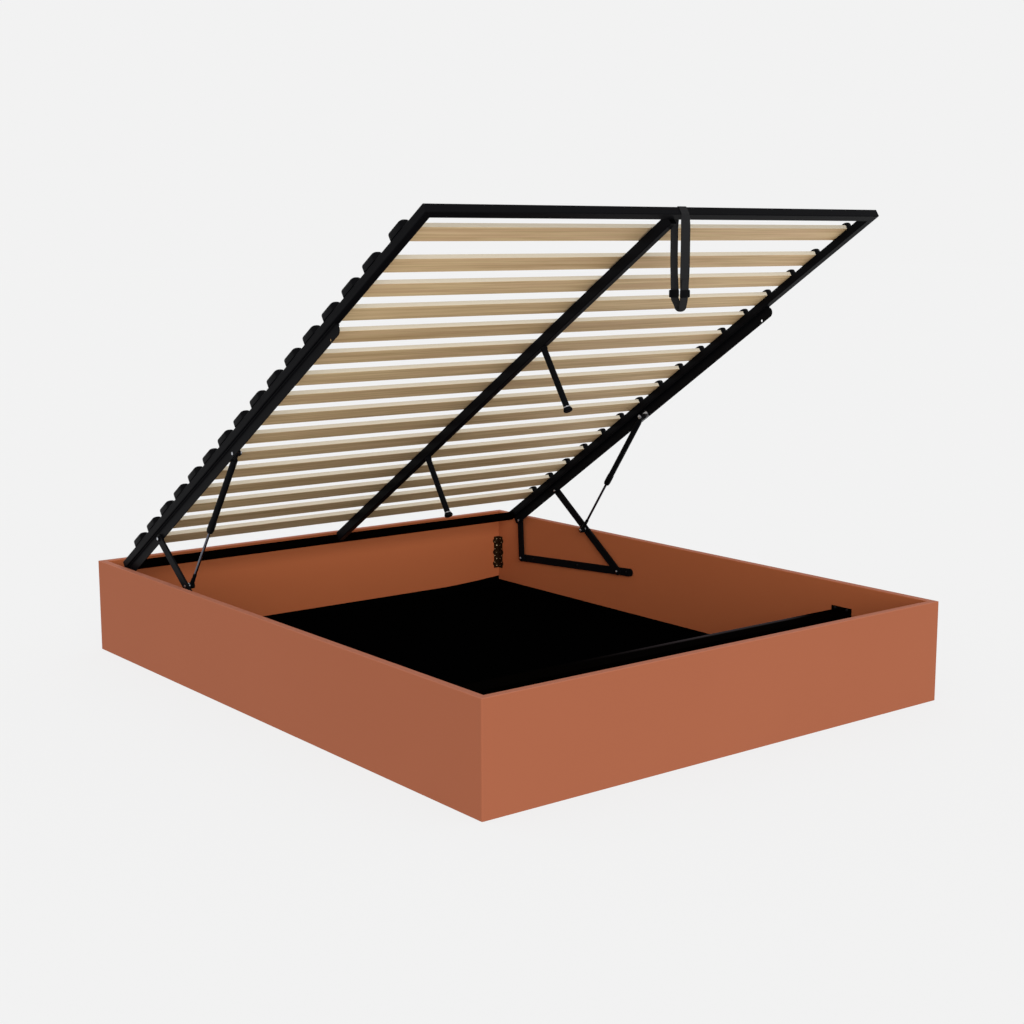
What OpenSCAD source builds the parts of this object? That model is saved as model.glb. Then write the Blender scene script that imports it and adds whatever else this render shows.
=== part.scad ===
// Storage bed: a panel box with a slatted base that lifts on arms, rear links and gas struts.
// +Y points to the head end, +X to the right, +Z up; the origin is the middle of the box on the ground.

/* [Box] */
// Outer width of the box, side to side
box_w = 1540; // [1340:10:1840]
// Outer length of the box, foot to head
box_l = 1940; // [1840:10:2140]
// Height of the box panels
box_h = 275; // [255:5:350]
// Thickness of the box panels
wall_t = 22; // [16:1:30]
// Rounding of the panels' top and corner edges
edge_r = 3; // [1:0.5:6]
// Thickness of the floor cloth
cloth_t = 2; // [1:0.5:3]
// Height of the cloth's hem on the panels
hem_h = 26; // [15:1:40]
// How far the hem curls up higher in its rear right corner
hem_curl = 14; // [0:1:20]

/* [Corner brackets] */
// Height of a corner bracket
corner_h = 114; // [80:2:150]
// Height of its lower end above the ground
corner_z = 70; // [50:5:100]
// Width of each leaf
corner_leaf = 22; // [18:1:30]

/* [Crossbar] */
// Way from the foot panel to the far edge of the crossbar
bar_reach = 332; // [200:5:500]
// Depth of the crossbar, measured along the bed
bar_d = 66; // [40:2:90]
// Height of the crossbar
bar_h = 32; // [20:2:40]
// Free height between the crossbar and the lowered base
bar_gap = 14; // [4:1:30]
// Sheet thickness of the crossbar and of its brackets
bar_sheet = 2.5; // [1.5:0.5:4]

/* [Slatted base] */
// Gap between the base and the panels on every side
frame_gap = 5; // [4:1:10]
// How far the lowered base lies below the rim of the box
rim_drop = 45; // [30:1:60]
// Width of the frame tubes
tube_w = 25; // [22:1:32]
// Height of the frame tubes
tube_h = 22; // [18:1:26]
// Wall thickness of the frame tubes
tube_wall = 1.5; // [1:0.1:3]
// Width of the centre beam
beam_w = 20; // [15:1:30]
// Height of the centre beam
beam_h = 29; // [20:1:30]
// Width of a slat
slat_w = 58; // [45:1:66]
// Thickness of a slat
slat_t = 12.5; // [7:0.5:13]
// Foot end of the frame to the first slat
slat_foot_margin = 93; // [70:1:110]
// Step from the first slat to the second one
slat_first_step = 130; // [110:1:140]
// Last slat to the head end of the frame
slat_head_margin = 104; // [60:1:140]
// Height of a slat holder above the rail
holder_h = 15; // [13.5:0.5:18]

/* [Support legs] */
// Foot end of the frame to the front leg
front_leg_s = 621; // [500:5:700]
// Foot end of the frame to the rear leg
rear_leg_s = 1273; // [1100:5:1400]
// Diameter of a leg
leg_d = 17; // [14:1:20]
// Diameter of a leg's foot
glide_d = 25; // [20:1:36]

/* [Lift mechanism] */
// How far the front arms are turned up from their lowered place
arm_swing = 32.4; // [0:0.1:32.4]
// Width of the arms, links and ground bars
link_w = 25; // [20:1:28]
// Thickness of the arms, links and ground bars
link_t = 6; // [4:0.5:6]
// Head panel to the arm's pivot on the box
arm_pivot_back = 655.3; // [600:0.1:700]
// Depth of that pivot below the top of the lowered base
arm_pivot_drop = 70.5; // [68:0.1:80]
// Head panel to the rear link's pivot on the box
link_pivot_back = 146.4; // [140:0.1:160]
// Depth of that pivot below the top of the lowered base
link_pivot_drop = 103.3; // [95:0.1:110]
// Head end of the frame to the arm's pin
arm_pin_back = 258.9; // [250:0.1:270]
// Head end of the frame to the rear link's pin
link_pin_back = 20.4; // [18:0.1:24]
// Length of the lift profile under each rail
profile_l = 1430; // [1300:1:1500]
// Height of the lift profile
profile_h = 30; // [28:1:32]
// Depth of the pins below the top of the frame
pin_depth = 45; // [42:0.5:48]

/* [Gas struts] */
// Length of the arm from its pivot to the stud that carries the strut
stud_l = 200; // [180:1:220]
// Head end of the frame to the strut's upper pin
strut_pin_back = 789; // [760:1:820]
// Diameter of the cylinder
cylinder_d = 18; // [14:1:22]
// Upper pin to the rod end of the cylinder
cylinder_l = 288; // [240:1:296]
// Diameter of the piston rod
rod_d = 8; // [6:0.5:10]

/* [Pull strap] */
// Width of the strap's webbing
strap_w = 26; // [20:1:35]
// Thickness of the webbing
strap_t = 3; // [2:0.5:3.5]
// Length that hangs below the foot tube
strap_drop = 221; // [150:1:230]
// Distance of the strap's middle from the middle of the bed
strap_x = 24; // [24:1:200]

/* [Hidden] */
$fn = 48;

// Colours as photographed
terracotta = [0.60, 0.34, 0.25];
steel_black = [0.05, 0.05, 0.06];
cloth_black = [0.03, 0.03, 0.03];
bright_steel = [0.75, 0.75, 0.77];
beech = [0.76, 0.65, 0.50];
plastic_black = [0.08, 0.08, 0.09];
webbing_black = [0.06, 0.06, 0.07];

// Clearances: running between a pin and its bore, flat between faces that pass each other
running = 0.05;
slip = 0.4;
overrun = 1;
// Washer between two flat bars that turn on each other
washer_t = 1;

// Inner faces of the box, and the base that fits between them
inner_x = box_w / 2 - wall_t;
inner_y = box_l / 2 - wall_t;
frame_w = 2 * (inner_x - frame_gap);
frame_l = 2 * (inner_y - frame_gap);
lowered_z = box_h - rim_drop;

// Layers of one side, from the panel inward
ground_in = inner_x - link_t;
arm_out = ground_in - washer_t;
arm_in = arm_out - link_t;
profile_out = arm_in - washer_t;
profile_wall = 2.5;
web_in = profile_out - profile_wall;
rail_in = frame_w / 2 - tube_w;
strut_plate_t = 3;
eye_w = 14;
collar_rim = 1;
collar_r = cylinder_d / 2 + collar_rim;
strut_x = web_in - slip - max(strut_plate_t + eye_w / 2, collar_r);

// Pins and bolt heads
pin_r = 4;
head_small_r = 6.5;
head_r = 7.5;
head_t = 3.5;
washer_r = 9;

// Lift geometry in [y, z]: pivots on the box, lowered pins, and the pins when the arms are up
function polar(r, a) = r * [cos(a), sin(a)];
function heading(v) = atan2(v[1], v[0]);
function across(v) = [-v[1], v[0]];
// Point at rp from p and at rq from q, to the left of the way from p to q
function meet(p, rp, q, rq) =
    let (d = norm(q - p), u = (q - p) / d, x = (d * d + rp * rp - rq * rq) / (2 * d))
    p + x * u + sqrt(rp * rp - x * x) * across(u);
// Frame position s along the rails and n below their top, in the world's [y, z]
function on_base(s, n) = frame_foot + s * polar(1, -tilt) - n * across(polar(1, -tilt));

arm_pivot = [inner_y - arm_pivot_back, lowered_z - arm_pivot_drop];
link_pivot = [inner_y - link_pivot_back, lowered_z - link_pivot_drop];
arm_pin_s = frame_l - arm_pin_back;
link_pin_s = frame_l - link_pin_back;
strut_pin_s = frame_l - strut_pin_back;
pin_span = link_pin_s - arm_pin_s;
arm_pin_lowered = [arm_pin_s - frame_l / 2, lowered_z - pin_depth];
link_pin_lowered = [link_pin_s - frame_l / 2, lowered_z - pin_depth];
arm_l = norm(arm_pin_lowered - arm_pivot);
link_l = norm(link_pin_lowered - link_pivot);
arm_angle = heading(arm_pin_lowered - arm_pivot) + arm_swing;
arm_pin = arm_pivot + polar(arm_l, arm_angle);
link_pin = meet(arm_pin, pin_span, link_pivot, link_l);
link_angle = heading(link_pin - link_pivot);
tilt = -heading(link_pin - arm_pin);
frame_foot = arm_pin - arm_pin_s * polar(1, -tilt) + pin_depth * across(polar(1, -tilt));

// Gas strut between the arm's stud and the frame's bracket
strut_pin_depth = 42.5;
stud = arm_pivot + polar(stud_l, arm_angle);
strut_pin = on_base(strut_pin_s, strut_pin_depth);
strut_l = norm(stud - strut_pin);
strut_angle = heading(stud - strut_pin);
eye_r = 9;
collar_stud_r = 8;
neck_r = 6;
neck_l = 24;
strut_plate_l = 43;
strut_plate_r = 4.5;
cylinder_wall = 1.5;
collar_l = 38;
rod_hidden = 30;
piston_l = 10;
rod_end_l = 24;
socket_r = 4.6;
socket_depth = 10;

// Ground bars
ground_tail = 51;
ground_end = arm_pivot + ground_tail * polar(1, heading(arm_pivot - link_pivot));
ground_screw_shares = [-0.075, 0.41, 0.88];

// Lift profile, and how far the beam and the head tube lie below the rails' top
profile_heel = 12;
profile_s = frame_l - profile_l;
profile_hole_s = 49;
profile_top = tube_h;
profile_bottom = tube_h + profile_h;
beam_drop = 4;
beam_bottom = beam_drop + beam_h;
head_drop = 10;

// Slats and their holders
slat_count = 16;
slat_step = (frame_l - slat_head_margin - slat_w - slat_foot_margin - slat_first_step) / (slat_count - 2);
slat_edge_r = 2;
slat_end_gap = 8;
slat_reach = frame_w / 2 - slat_end_gap;
holder_wall = 4;
holder_lip = 14;
holder_r = 12;
holder_top_r = 4;
holder_skin = 1;
holder_out = frame_w / 2 + holder_skin;
holder_in = rail_in - holder_lip;
function slat_s(i) = slat_foot_margin + (i == 0 ? 0 : slat_first_step + (i - 1) * slat_step);
function slat_node(i) = str("slat_", i < 9 ? "0" : "", i + 1);

// Support legs
leg_wall = 1.5;
nut_h = 7;
nut_r = 9.5;
glide_h = 11;
glide_rim = 3;
glide_grip = 3;
leg_end = lowered_z - cloth_t - slip;

// Crossbar and its wall brackets
bar_top = lowered_z - tube_h - bar_gap;
bar_y = bar_reach - inner_y;
hanger_rise = 12;
hanger_shelf = 28;
hanger_screw_shares = [0.2, 0.8];
hanger_d = bar_d + 2 * (bar_sheet + slip);

// Corner brackets and screws
corner_t = 2;
lobe_r = 9;
corner_screw_shares = [0.14, 0.5, 0.86];
screw_r = 4.5;
screw_h = 2.2;
recess_w = 1;

// Hem and tube details
hem_run = 260;
tube_r = 2.5;

// Strap: its legs hang straight from two corners of the foot tube, then close into a round end
strap_front = on_base(tube_r, tube_h - tube_r);
strap_rear = on_base(tube_w - tube_r, tube_r);
strap_mid = (strap_front[0] + strap_rear[0]) / 2;
strap_low = on_base(tube_w, tube_h)[1] - strap_drop;
strap_end_r = 7;
strap_taper = 35;
slider_h = 16;
slider_rim = 3;
slider_skin = 2;
slider_r = 1.5;

// Plate drawn in [y, z], standing between two x values
module plate_x(x0, x1) {
    translate([x0, 0, 0]) rotate([90, 0, 90]) linear_extrude(x1 - x0) children();
}

// Round rod along x, between two x values, at p = [y, z]
module rod_x(p, r, x0, x1) {
    translate([x0, p[0], p[1]]) rotate([0, 90, 0]) cylinder(r = r, h = x1 - x0);
}

// Right side is 1, left side is -1
module on_side(side) {
    mirror([side < 0 ? 1 : 0, 0, 0]) children();
}

// Children in frame coordinates: x, s from the foot end, z = 0 at the top of the tubes
module on_frame() {
    translate([0, frame_foot[0], frame_foot[1]]) rotate([-tilt, 0, 0]) children();
}

// Rectangle with round corners, centred
module rounded_rect(size, r) {
    square([size[0] - 2 * r, size[1]], center = true);
    square([size[0], size[1] - 2 * r], center = true);
    for (x = [-1, 1], y = [-1, 1])
        translate([x * (size[0] / 2 - r), y * (size[1] / 2 - r)]) circle(r);
}

// Flat bar outline with round ends, from p to q
module bar_outline(p, q) {
    translate(p) rotate(heading(q - p)) {
        translate([0, -link_w / 2]) square([norm(q - p), link_w]);
        circle(link_w / 2);
        translate([norm(q - p), 0]) circle(link_w / 2);
    }
}

// Tube section with round corners, hollow, centred
module tube_section(w, h) {
    difference() {
        rounded_rect([w, h], tube_r);
        rounded_rect([w - 2 * tube_wall, h - 2 * tube_wall], tube_r - tube_wall / 2);
    }
}

// Panel on the foot side, its outer face at y = -reach, turned to its own side
module panel(length, reach, turn) {
    color(terracotta) rotate(turn) intersection() {
        linear_extrude(box_h) intersection() {
            rounded_rect([length, 2 * reach], edge_r);
            polygon([[-length / 2, -reach], [length / 2, -reach],
                [length / 2 - wall_t, wall_t - reach], [wall_t - length / 2, wall_t - reach]]);
        }
        plate_x(-length / 2, length / 2) translate([-reach, 0]) {
            square([wall_t, box_h - edge_r]);
            translate([edge_r, 0]) square([wall_t - 2 * edge_r, box_h]);
            for (y = [edge_r, wall_t - edge_r]) translate([y, box_h - edge_r]) circle(edge_r);
        }
    }
}

module side_panel(side) {
    panel(box_l, box_w / 2, side * 90);
}

module head_panel() {
    panel(box_w, box_l / 2, 180);
}

module foot_panel() {
    panel(box_w, box_l / 2, 0);
}

module floor_cloth() {
    color(cloth_black) translate([-inner_x, -inner_y, 0]) cube([2 * inner_x, 2 * inner_y, cloth_t]);
}

// Hem strip outline from 0 to length; its end curls up by curl
module hem_outline(length, curl) {
    polygon([[0, cloth_t], [length, cloth_t], [length, hem_h + curl],
        [length - hem_run / 3, hem_h + curl / 3], [length - hem_run, hem_h], [0, hem_h]]);
}

module floor_cloth_hem() {
    color(cloth_black) {
        translate([0, -inner_y, 0]) plate_x(inner_x - cloth_t, inner_x) hem_outline(2 * inner_y, hem_curl);
        translate([0, -inner_y, 0]) plate_x(-inner_x, cloth_t - inner_x) hem_outline(2 * inner_y, 0);
        for (y = [inner_y, cloth_t - inner_y]) translate([-inner_x, y, 0]) rotate([90, 0, 0])
            linear_extrude(cloth_t) hem_outline(2 * inner_x, y > 0 ? hem_curl : 0);
    }
}

// Channel section of the crossbar, open below, its far top edge at the origin
module crossbar_section() {
    difference() {
        translate([-bar_d, -bar_h]) square([bar_d, bar_h]);
        translate([bar_sheet - bar_d, -bar_h - overrun])
            square([bar_d - 2 * bar_sheet, bar_h - bar_sheet + overrun]);
    }
}

module crossbar() {
    reach = inner_x - bar_sheet - slip;
    color(steel_black) translate([0, bar_y - bar_sheet - slip, bar_top])
        plate_x(-reach, reach) crossbar_section();
}

// Wall plate with a tray that the end of the crossbar lies in
module crossbar_bracket() {
    low = bar_top - bar_h - bar_sheet;
    translate([0, bar_y - hanger_d, low]) {
        plate_x(inner_x - bar_sheet, inner_x) square([hanger_d, bar_h + bar_sheet + hanger_rise]);
        plate_x(inner_x - hanger_shelf, inner_x) difference() {
            square([hanger_d, bar_h]);
            translate([bar_sheet, bar_sheet]) square([hanger_d - 2 * bar_sheet, bar_h]);
        }
    }
}

module crossbar_brackets() {
    color(steel_black) for (side = [-1, 1]) on_side(side) crossbar_bracket();
}

// Leaf of a corner bracket, from the corner outward, with lobes round its screws
module corner_leaf_outline() {
    difference() {
        union() {
            square([corner_leaf, corner_h]);
            for (share = corner_screw_shares)
                translate([corner_leaf - lobe_r / 2, share * corner_h]) circle(lobe_r);
        }
        translate([-2 * lobe_r, -lobe_r]) square([2 * lobe_r, corner_h + 2 * lobe_r]);
        for (share = corner_screw_shares)
            translate([corner_leaf - lobe_r, share * corner_h]) circle(screw_r / 2);
    }
}

// One bracket in the corner at the origin, its leaves toward -x and -y
module corner_bracket() {
    translate([0, -corner_t, 0]) rotate([90, 0, 180]) linear_extrude(corner_t) corner_leaf_outline();
    rotate([90, 0, -90]) linear_extrude(corner_t) corner_leaf_outline();
}

// The four inner corners of the box
module at_corners() {
    for (x = [0, 1], y = [0, 1]) mirror([x, 0, 0]) mirror([0, y, 0])
        translate([inner_x, inner_y, corner_z]) children();
}

module corner_brackets() {
    color(steel_black) at_corners() corner_bracket();
}

// Screw head that stands on a face, its axis along +z, with a cross recess
module screw_head() {
    difference() {
        union() {
            cylinder(r = screw_r, h = screw_h / 2);
            translate([0, 0, screw_h / 2]) cylinder(r1 = screw_r, r2 = screw_r / 2, h = screw_h / 2);
        }
        for (turn = [0, 90]) rotate(turn) translate([-screw_r / 2, -recess_w / 2, screw_h / 2])
            cube([screw_r, recess_w, screw_h]);
    }
}

function ground_screw(share) = arm_pivot + share * (link_pivot - arm_pivot);

module panel_screws() {
    color(bright_steel) {
        at_corners() for (share = corner_screw_shares) {
            translate([-corner_leaf + lobe_r, -corner_t, share * corner_h])
                rotate([90, 0, 0]) screw_head();
            translate([-corner_t, -corner_leaf + lobe_r, share * corner_h])
                rotate([0, -90, 0]) screw_head();
        }
        for (side = [-1, 1]) on_side(side) {
            for (share = ground_screw_shares)
                translate([ground_in, ground_screw(share)[0], ground_screw(share)[1]])
                    rotate([0, -90, 0]) screw_head();
            for (share = hanger_screw_shares)
                translate([inner_x - bar_sheet, bar_y - share * hanger_d, bar_top + hanger_rise / 2])
                    rotate([0, -90, 0]) screw_head();
        }
    }
}

// Flat bar screwed to the panel, with both pivots of the lift on it
module ground_bar(side) {
    color(steel_black) on_side(side) difference() {
        plate_x(ground_in, inner_x) bar_outline(link_pivot, ground_end);
        for (p = [arm_pivot, link_pivot]) rod_x(p, pin_r, ground_in - overrun, inner_x + overrun);
    }
}

// Pivot bolt: shank from the panel inward, washer on the bar, head over the turning bar
module ground_pivot_bolt(p) {
    rod_x(p, pin_r, arm_in - slip - head_t, inner_x);
    rod_x(p, washer_r, arm_out + slip / 2, ground_in);
    rod_x(p, head_r, arm_in - slip - head_t, arm_in - slip);
}

module ground_pivot_bolts() {
    color(bright_steel) for (side = [-1, 1], p = [arm_pivot, link_pivot])
        on_side(side) ground_pivot_bolt(p);
}

module front_arm(side) {
    color(steel_black) on_side(side) difference() {
        plate_x(arm_in, arm_out) bar_outline(arm_pivot, arm_pin);
        for (p = [arm_pivot, arm_pin]) rod_x(p, pin_r + running, arm_in - overrun, arm_out + overrun);
        rod_x(stud, pin_r, arm_in - overrun, arm_out + overrun);
    }
}

// Stud through the arm; it stops just short of the strut's socket
module strut_stud(side) {
    color(bright_steel) on_side(side) {
        rod_x(stud, pin_r, strut_x + eye_w / 2 + slip, arm_out + washer_t / 2);
        rod_x(stud, collar_stud_r, strut_x + eye_w / 2 + slip, web_in - slip);
    }
}

// Rear link with the upset head of its upper rivet, which stops short of the profile
module rear_link(side) {
    color(steel_black) on_side(side) difference() {
        union() {
            plate_x(arm_in, arm_out) bar_outline(link_pivot, link_pin);
            rod_x(link_pin, head_r, profile_out + slip, arm_out + head_t);
        }
        rod_x(link_pivot, pin_r + running, arm_in - overrun, arm_out + overrun);
    }
}

// Side rail, mitred at the foot end
module rail(side) {
    color(steel_black) on_frame() on_side(side) intersection() {
        translate([frame_w / 2 - tube_w / 2, 0, -tube_h / 2]) rotate([-90, 0, 0])
            linear_extrude(frame_l) tube_section(tube_w, tube_h);
        translate([0, 0, -tube_h]) linear_extrude(tube_h)
            polygon([[frame_w / 2, 0], [frame_w / 2, frame_l], [rail_in, frame_l], [rail_in, tube_w]]);
    }
}

// Tube across the base, between two x values, its foot side at s and its top at depth n
module cross_tube(s, n, reach) {
    translate([-reach, s + tube_w / 2, -n - tube_h / 2]) rotate([90, 0, 90])
        linear_extrude(2 * reach) tube_section(tube_w, tube_h);
}

// Mitred to the rails
module foot_tube() {
    color(steel_black) on_frame() intersection() {
        cross_tube(0, 0, frame_w / 2);
        translate([0, 0, -tube_h]) linear_extrude(tube_h)
            polygon([[-frame_w / 2, 0], [frame_w / 2, 0], [rail_in, tube_w], [-rail_in, tube_w]]);
    }
}

// Set between the rails, lower than their top
module head_tube() {
    color(steel_black) on_frame() cross_tube(frame_l - tube_w, head_drop, rail_in);
}

module centre_beam() {
    color(steel_black) on_frame() translate([0, tube_w, -beam_drop - beam_h / 2]) rotate([-90, 0, 0])
        linear_extrude(frame_l - 2 * tube_w) tube_section(beam_w, beam_h);
}

// Side outline of the profile's web in [s, height], with a half-round nose and a round heel
module web_outline() {
    nose = profile_h / 2;
    translate([profile_s + nose, -profile_bottom]) square([profile_l - nose - profile_heel, profile_h]);
    translate([profile_s + profile_l - profile_heel, profile_heel - profile_bottom])
        square([profile_heel, profile_h - profile_heel]);
    translate([profile_s + nose, nose - profile_bottom]) circle(nose);
    translate([profile_s + profile_l - profile_heel, profile_heel - profile_bottom]) circle(profile_heel);
}

// Angle under the rail: a flange against the rail, and the web that carries the pins
module lift_profile(side) {
    color(steel_black) on_frame() on_side(side) {
        plate_x(rail_in, web_in + profile_wall / 2)
            translate([profile_s + profile_h / 2, -profile_top - profile_wall])
                square([profile_l - profile_h / 2, profile_wall]);
        difference() {
            plate_x(web_in, profile_out) web_outline();
            for (s = [arm_pin_s, link_pin_s, profile_s + profile_hole_s])
                rod_x([s, -pin_depth], pin_r, web_in - overrun, profile_out + overrun);
        }
    }
}

// Bolt through the profile and the arm; at the rear link only its inner half
module frame_pivot_bolts() {
    color(bright_steel) on_frame() for (side = [-1, 1]) on_side(side) {
        arm_at = [arm_pin_s, -pin_depth];
        link_at = [link_pin_s, -pin_depth];
        rod_x(arm_at, pin_r, web_in, arm_out + slip);
        rod_x(arm_at, head_r, arm_out + slip, arm_out + slip + head_t);
        rod_x(arm_at, washer_r, profile_out, arm_in - slip / 2);
        rod_x(link_at, pin_r, web_in, profile_out);
        for (at = [arm_at, link_at]) rod_x(at, head_r, web_in - head_t, web_in);
    }
}

// Plate on the profile's web with the pin of the strut's upper eye
module strut_bracket(side) {
    at = [strut_pin_s, -strut_pin_depth];
    eye_in = strut_x - eye_w / 2 - slip;
    color(bright_steel) on_frame() on_side(side) {
        plate_x(web_in - strut_plate_t, web_in) translate(at)
            rounded_rect([strut_plate_l, 2 * eye_r], strut_plate_r);
        rod_x(at, pin_r, eye_in, web_in);
        rod_x(at, head_small_r, eye_in - head_t, eye_in);
    }
}

module slat(i) {
    color(beech) on_frame() translate([0, slat_s(i) + slat_w / 2, slat_t / 2])
        plate_x(-slat_reach, slat_reach) rounded_rect([slat_w, slat_t], slat_edge_r);
}

// Cap on the rail with a pocket for the end of a slat
module slat_holder() {
    half = slat_w / 2 + holder_wall;
    difference() {
        intersection() {
            linear_extrude(holder_h) translate([(holder_in + holder_out) / 2, 0])
                rounded_rect([holder_out - holder_in, 2 * half], holder_r);
            plate_x(holder_in, holder_out) {
                translate([-half, 0]) square([2 * half, holder_h - holder_top_r]);
                translate([holder_top_r - half, 0]) square([2 * (half - holder_top_r), holder_h]);
                for (y = [-1, 1])
                    translate([y * (half - holder_top_r), holder_h - holder_top_r]) circle(holder_top_r);
            }
        }
        translate([holder_in - overrun, -slat_w / 2, -overrun])
            cube([slat_reach - holder_in + overrun, slat_w, slat_t + overrun]);
    }
}

module slat_holders(side) {
    color(plastic_black) on_frame() on_side(side) for (i = [0 : slat_count - 1])
        translate([0, slat_s(i) + slat_w / 2, 0]) slat_holder();
}

// Leg tube that stands off the underside of the centre beam
module support_leg(s) {
    color(steel_black) on_frame() translate([0, s, glide_grip - leg_end]) difference() {
        cylinder(d = leg_d, h = leg_end - beam_bottom - glide_grip);
        translate([0, 0, -overrun]) cylinder(d = leg_d - 2 * leg_wall, h = leg_end - beam_bottom);
    }
}

// Foot of a leg: a flared cup round the tube, with a rounded sole
module leg_glide(s) {
    rim = glide_d / 2;
    grip = leg_d / 2;
    color(plastic_black) on_frame() translate([0, s, -leg_end]) rotate_extrude() difference() {
        union() {
            square([rim - glide_grip, glide_grip]);
            translate([0, glide_grip]) square([rim, glide_rim]);
            translate([rim - glide_grip, glide_grip]) circle(glide_grip);
            polygon([[0, glide_rim], [rim, glide_grip + glide_rim],
                [grip + leg_wall, glide_h], [0, glide_h]]);
        }
        translate([0, glide_grip]) square([grip, glide_h]);
        translate([-2 * rim, -rim]) square([2 * rim, 4 * rim]);
    }
}

// Nuts that hold the legs to the beam
module leg_nuts() {
    color(bright_steel) on_frame() for (s = [front_leg_s, rear_leg_s])
        translate([0, s, -beam_bottom - nut_h]) difference() {
            cylinder(r = nut_r + leg_wall, h = nut_h, $fn = 6);
            translate([0, 0, -overrun]) cylinder(d = leg_d, h = nut_h + 2 * overrun);
        }
}

// Side view in [y, z] of all that lies inside the webbing's face, where grow is its distance from the tube.
// From two corners of the tube the sides hang straight, then they close into a round end.
module strap_side_view(grow) {
    reach = tube_r + grow;
    end_r = strap_end_r - strap_t + grow;
    end_z = strap_low + strap_end_r;
    taper_z = strap_low + strap_taper;
    translate(on_base(tube_w / 2, tube_h / 2)) rotate(-tilt)
        rounded_rect([tube_w + 2 * grow, tube_h + 2 * grow], reach);
    polygon([strap_front, [strap_front[0] - reach, strap_front[1]], [strap_front[0] - reach, taper_z],
        [strap_mid - end_r, end_z], [strap_mid + end_r, end_z],
        [strap_rear[0] + reach, taper_z], [strap_rear[0] + reach, strap_rear[1]], strap_rear]);
    translate([strap_mid, end_z]) circle(end_r);
}

// Webbing loop over the foot tube, beside the centre beam
module pull_strap() {
    color(webbing_black) plate_x(strap_x - strap_w / 2, strap_x + strap_w / 2) difference() {
        strap_side_view(strap_t);
        strap_side_view(0);
    }
}

// Slider on one leg, a flat ring round the webbing
module strap_slider(corner, toward) {
    middle = corner[0] + toward * (tube_r + strap_t / 2);
    color(plastic_black) translate([strap_x, middle, strap_low + strap_taper + slider_skin])
        linear_extrude(slider_h) difference() {
            rounded_rect([strap_w + 2 * slider_rim, strap_t + 2 * slider_skin], slider_r);
            square([strap_w, strap_t], center = true);
        }
}

module strap_sliders() {
    strap_slider(strap_front, -1);
    strap_slider(strap_rear, 1);
}

// Children with +x along the strut, from the upper pin toward the stud, on one side
module along_strut(side) {
    on_side(side) translate([strut_x, strut_pin[0], strut_pin[1]]) rotate([strut_angle, 0, 0])
        rotate([0, 0, 90]) children();
}

// Cylinder with its eye at the frame's bracket and the wider collar at the rod's end
module strut_cylinder(side) {
    color(steel_black) along_strut(side) difference() {
        union() {
            translate([0, eye_w / 2, 0]) rotate([90, 0, 0]) cylinder(r = eye_r, h = eye_w);
            rotate([0, 90, 0]) cylinder(r = neck_r, h = neck_l);
            translate([neck_l, 0, 0]) rotate([0, 90, 0]) cylinder(d = cylinder_d, h = cylinder_l - neck_l);
            translate([cylinder_l - collar_l, 0, 0]) rotate([0, 90, 0])
                cylinder(r = collar_r, h = collar_l - collar_r / 2);
            translate([cylinder_l - collar_r / 2, 0, 0]) rotate([0, 90, 0])
                cylinder(r1 = collar_r, r2 = neck_r, h = collar_r / 2);
        }
        translate([0, eye_w / 2 + overrun, 0]) rotate([90, 0, 0])
            cylinder(r = pin_r + running, h = eye_w + 2 * overrun);
        translate([neck_l + cylinder_wall, 0, 0]) rotate([0, 90, 0])
            cylinder(d = cylinder_d - 2 * cylinder_wall, h = cylinder_l - neck_l - collar_l);
        translate([neck_l + 2 * cylinder_wall, 0, 0]) rotate([0, 90, 0])
            cylinder(d = rod_d + 2 * running, h = cylinder_l);
    }
}

// Piston rod, its piston just inside the collar when the base is up
module strut_rod(side) {
    start = cylinder_l - collar_l - rod_hidden;
    color(bright_steel) along_strut(side) {
        translate([start, 0, 0]) rotate([0, 90, 0]) cylinder(d = rod_d, h = strut_l - rod_end_l - start);
        translate([start, 0, 0]) rotate([0, 90, 0])
            cylinder(r = cylinder_d / 2 - cylinder_wall - slip, h = piston_l);
    }
}

// Socket on the rod that faces the arm's stud
module strut_rod_end(side) {
    color(plastic_black) along_strut(side) translate([strut_l, 0, 0]) difference() {
        union() {
            translate([0, eye_w / 2, 0]) rotate([90, 0, 0]) cylinder(r = eye_r, h = eye_w);
            translate([-rod_end_l, 0, 0]) rotate([0, 90, 0]) cylinder(r = neck_r, h = rod_end_l);
        }
        translate([0, -eye_w / 2 + socket_depth, 0]) rotate([90, 0, 0])
            cylinder(r = socket_r, h = socket_depth + overrun);
    }
}

side_panel(-1);  // side_panel_left
side_panel(1);  // side_panel_right
head_panel();
foot_panel();
floor_cloth();
floor_cloth_hem();
crossbar();
crossbar_brackets();
corner_brackets();
panel_screws();
ground_bar(-1);  // ground_bar_left
ground_bar(1);  // ground_bar_right
ground_pivot_bolts();
front_arm(-1);  // front_arm_left
front_arm(1);  // front_arm_right
strut_stud(-1);  // strut_stud_left
strut_stud(1);  // strut_stud_right
rear_link(-1);  // rear_link_left
rear_link(1);  // rear_link_right
rail(-1);  // rail_left
rail(1);  // rail_right
foot_tube();
head_tube();
centre_beam();
lift_profile(-1);  // lift_profile_left
lift_profile(1);  // lift_profile_right
frame_pivot_bolts();
strut_bracket(-1);  // strut_bracket_left
strut_bracket(1);  // strut_bracket_right
for (i = [0 : slat_count - 1])
    slat(i);
slat_holders(-1);  // slat_holders_left
slat_holders(1);  // slat_holders_right
support_leg(front_leg_s);  // support_leg_front
support_leg(rear_leg_s);  // support_leg_rear
leg_glide(front_leg_s);  // leg_glide_front
leg_glide(rear_leg_s);  // leg_glide_rear
leg_nuts();
pull_strap();
strap_sliders();
strut_cylinder(-1);  // strut_cylinder_left
strut_cylinder(1);  // strut_cylinder_right
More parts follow.
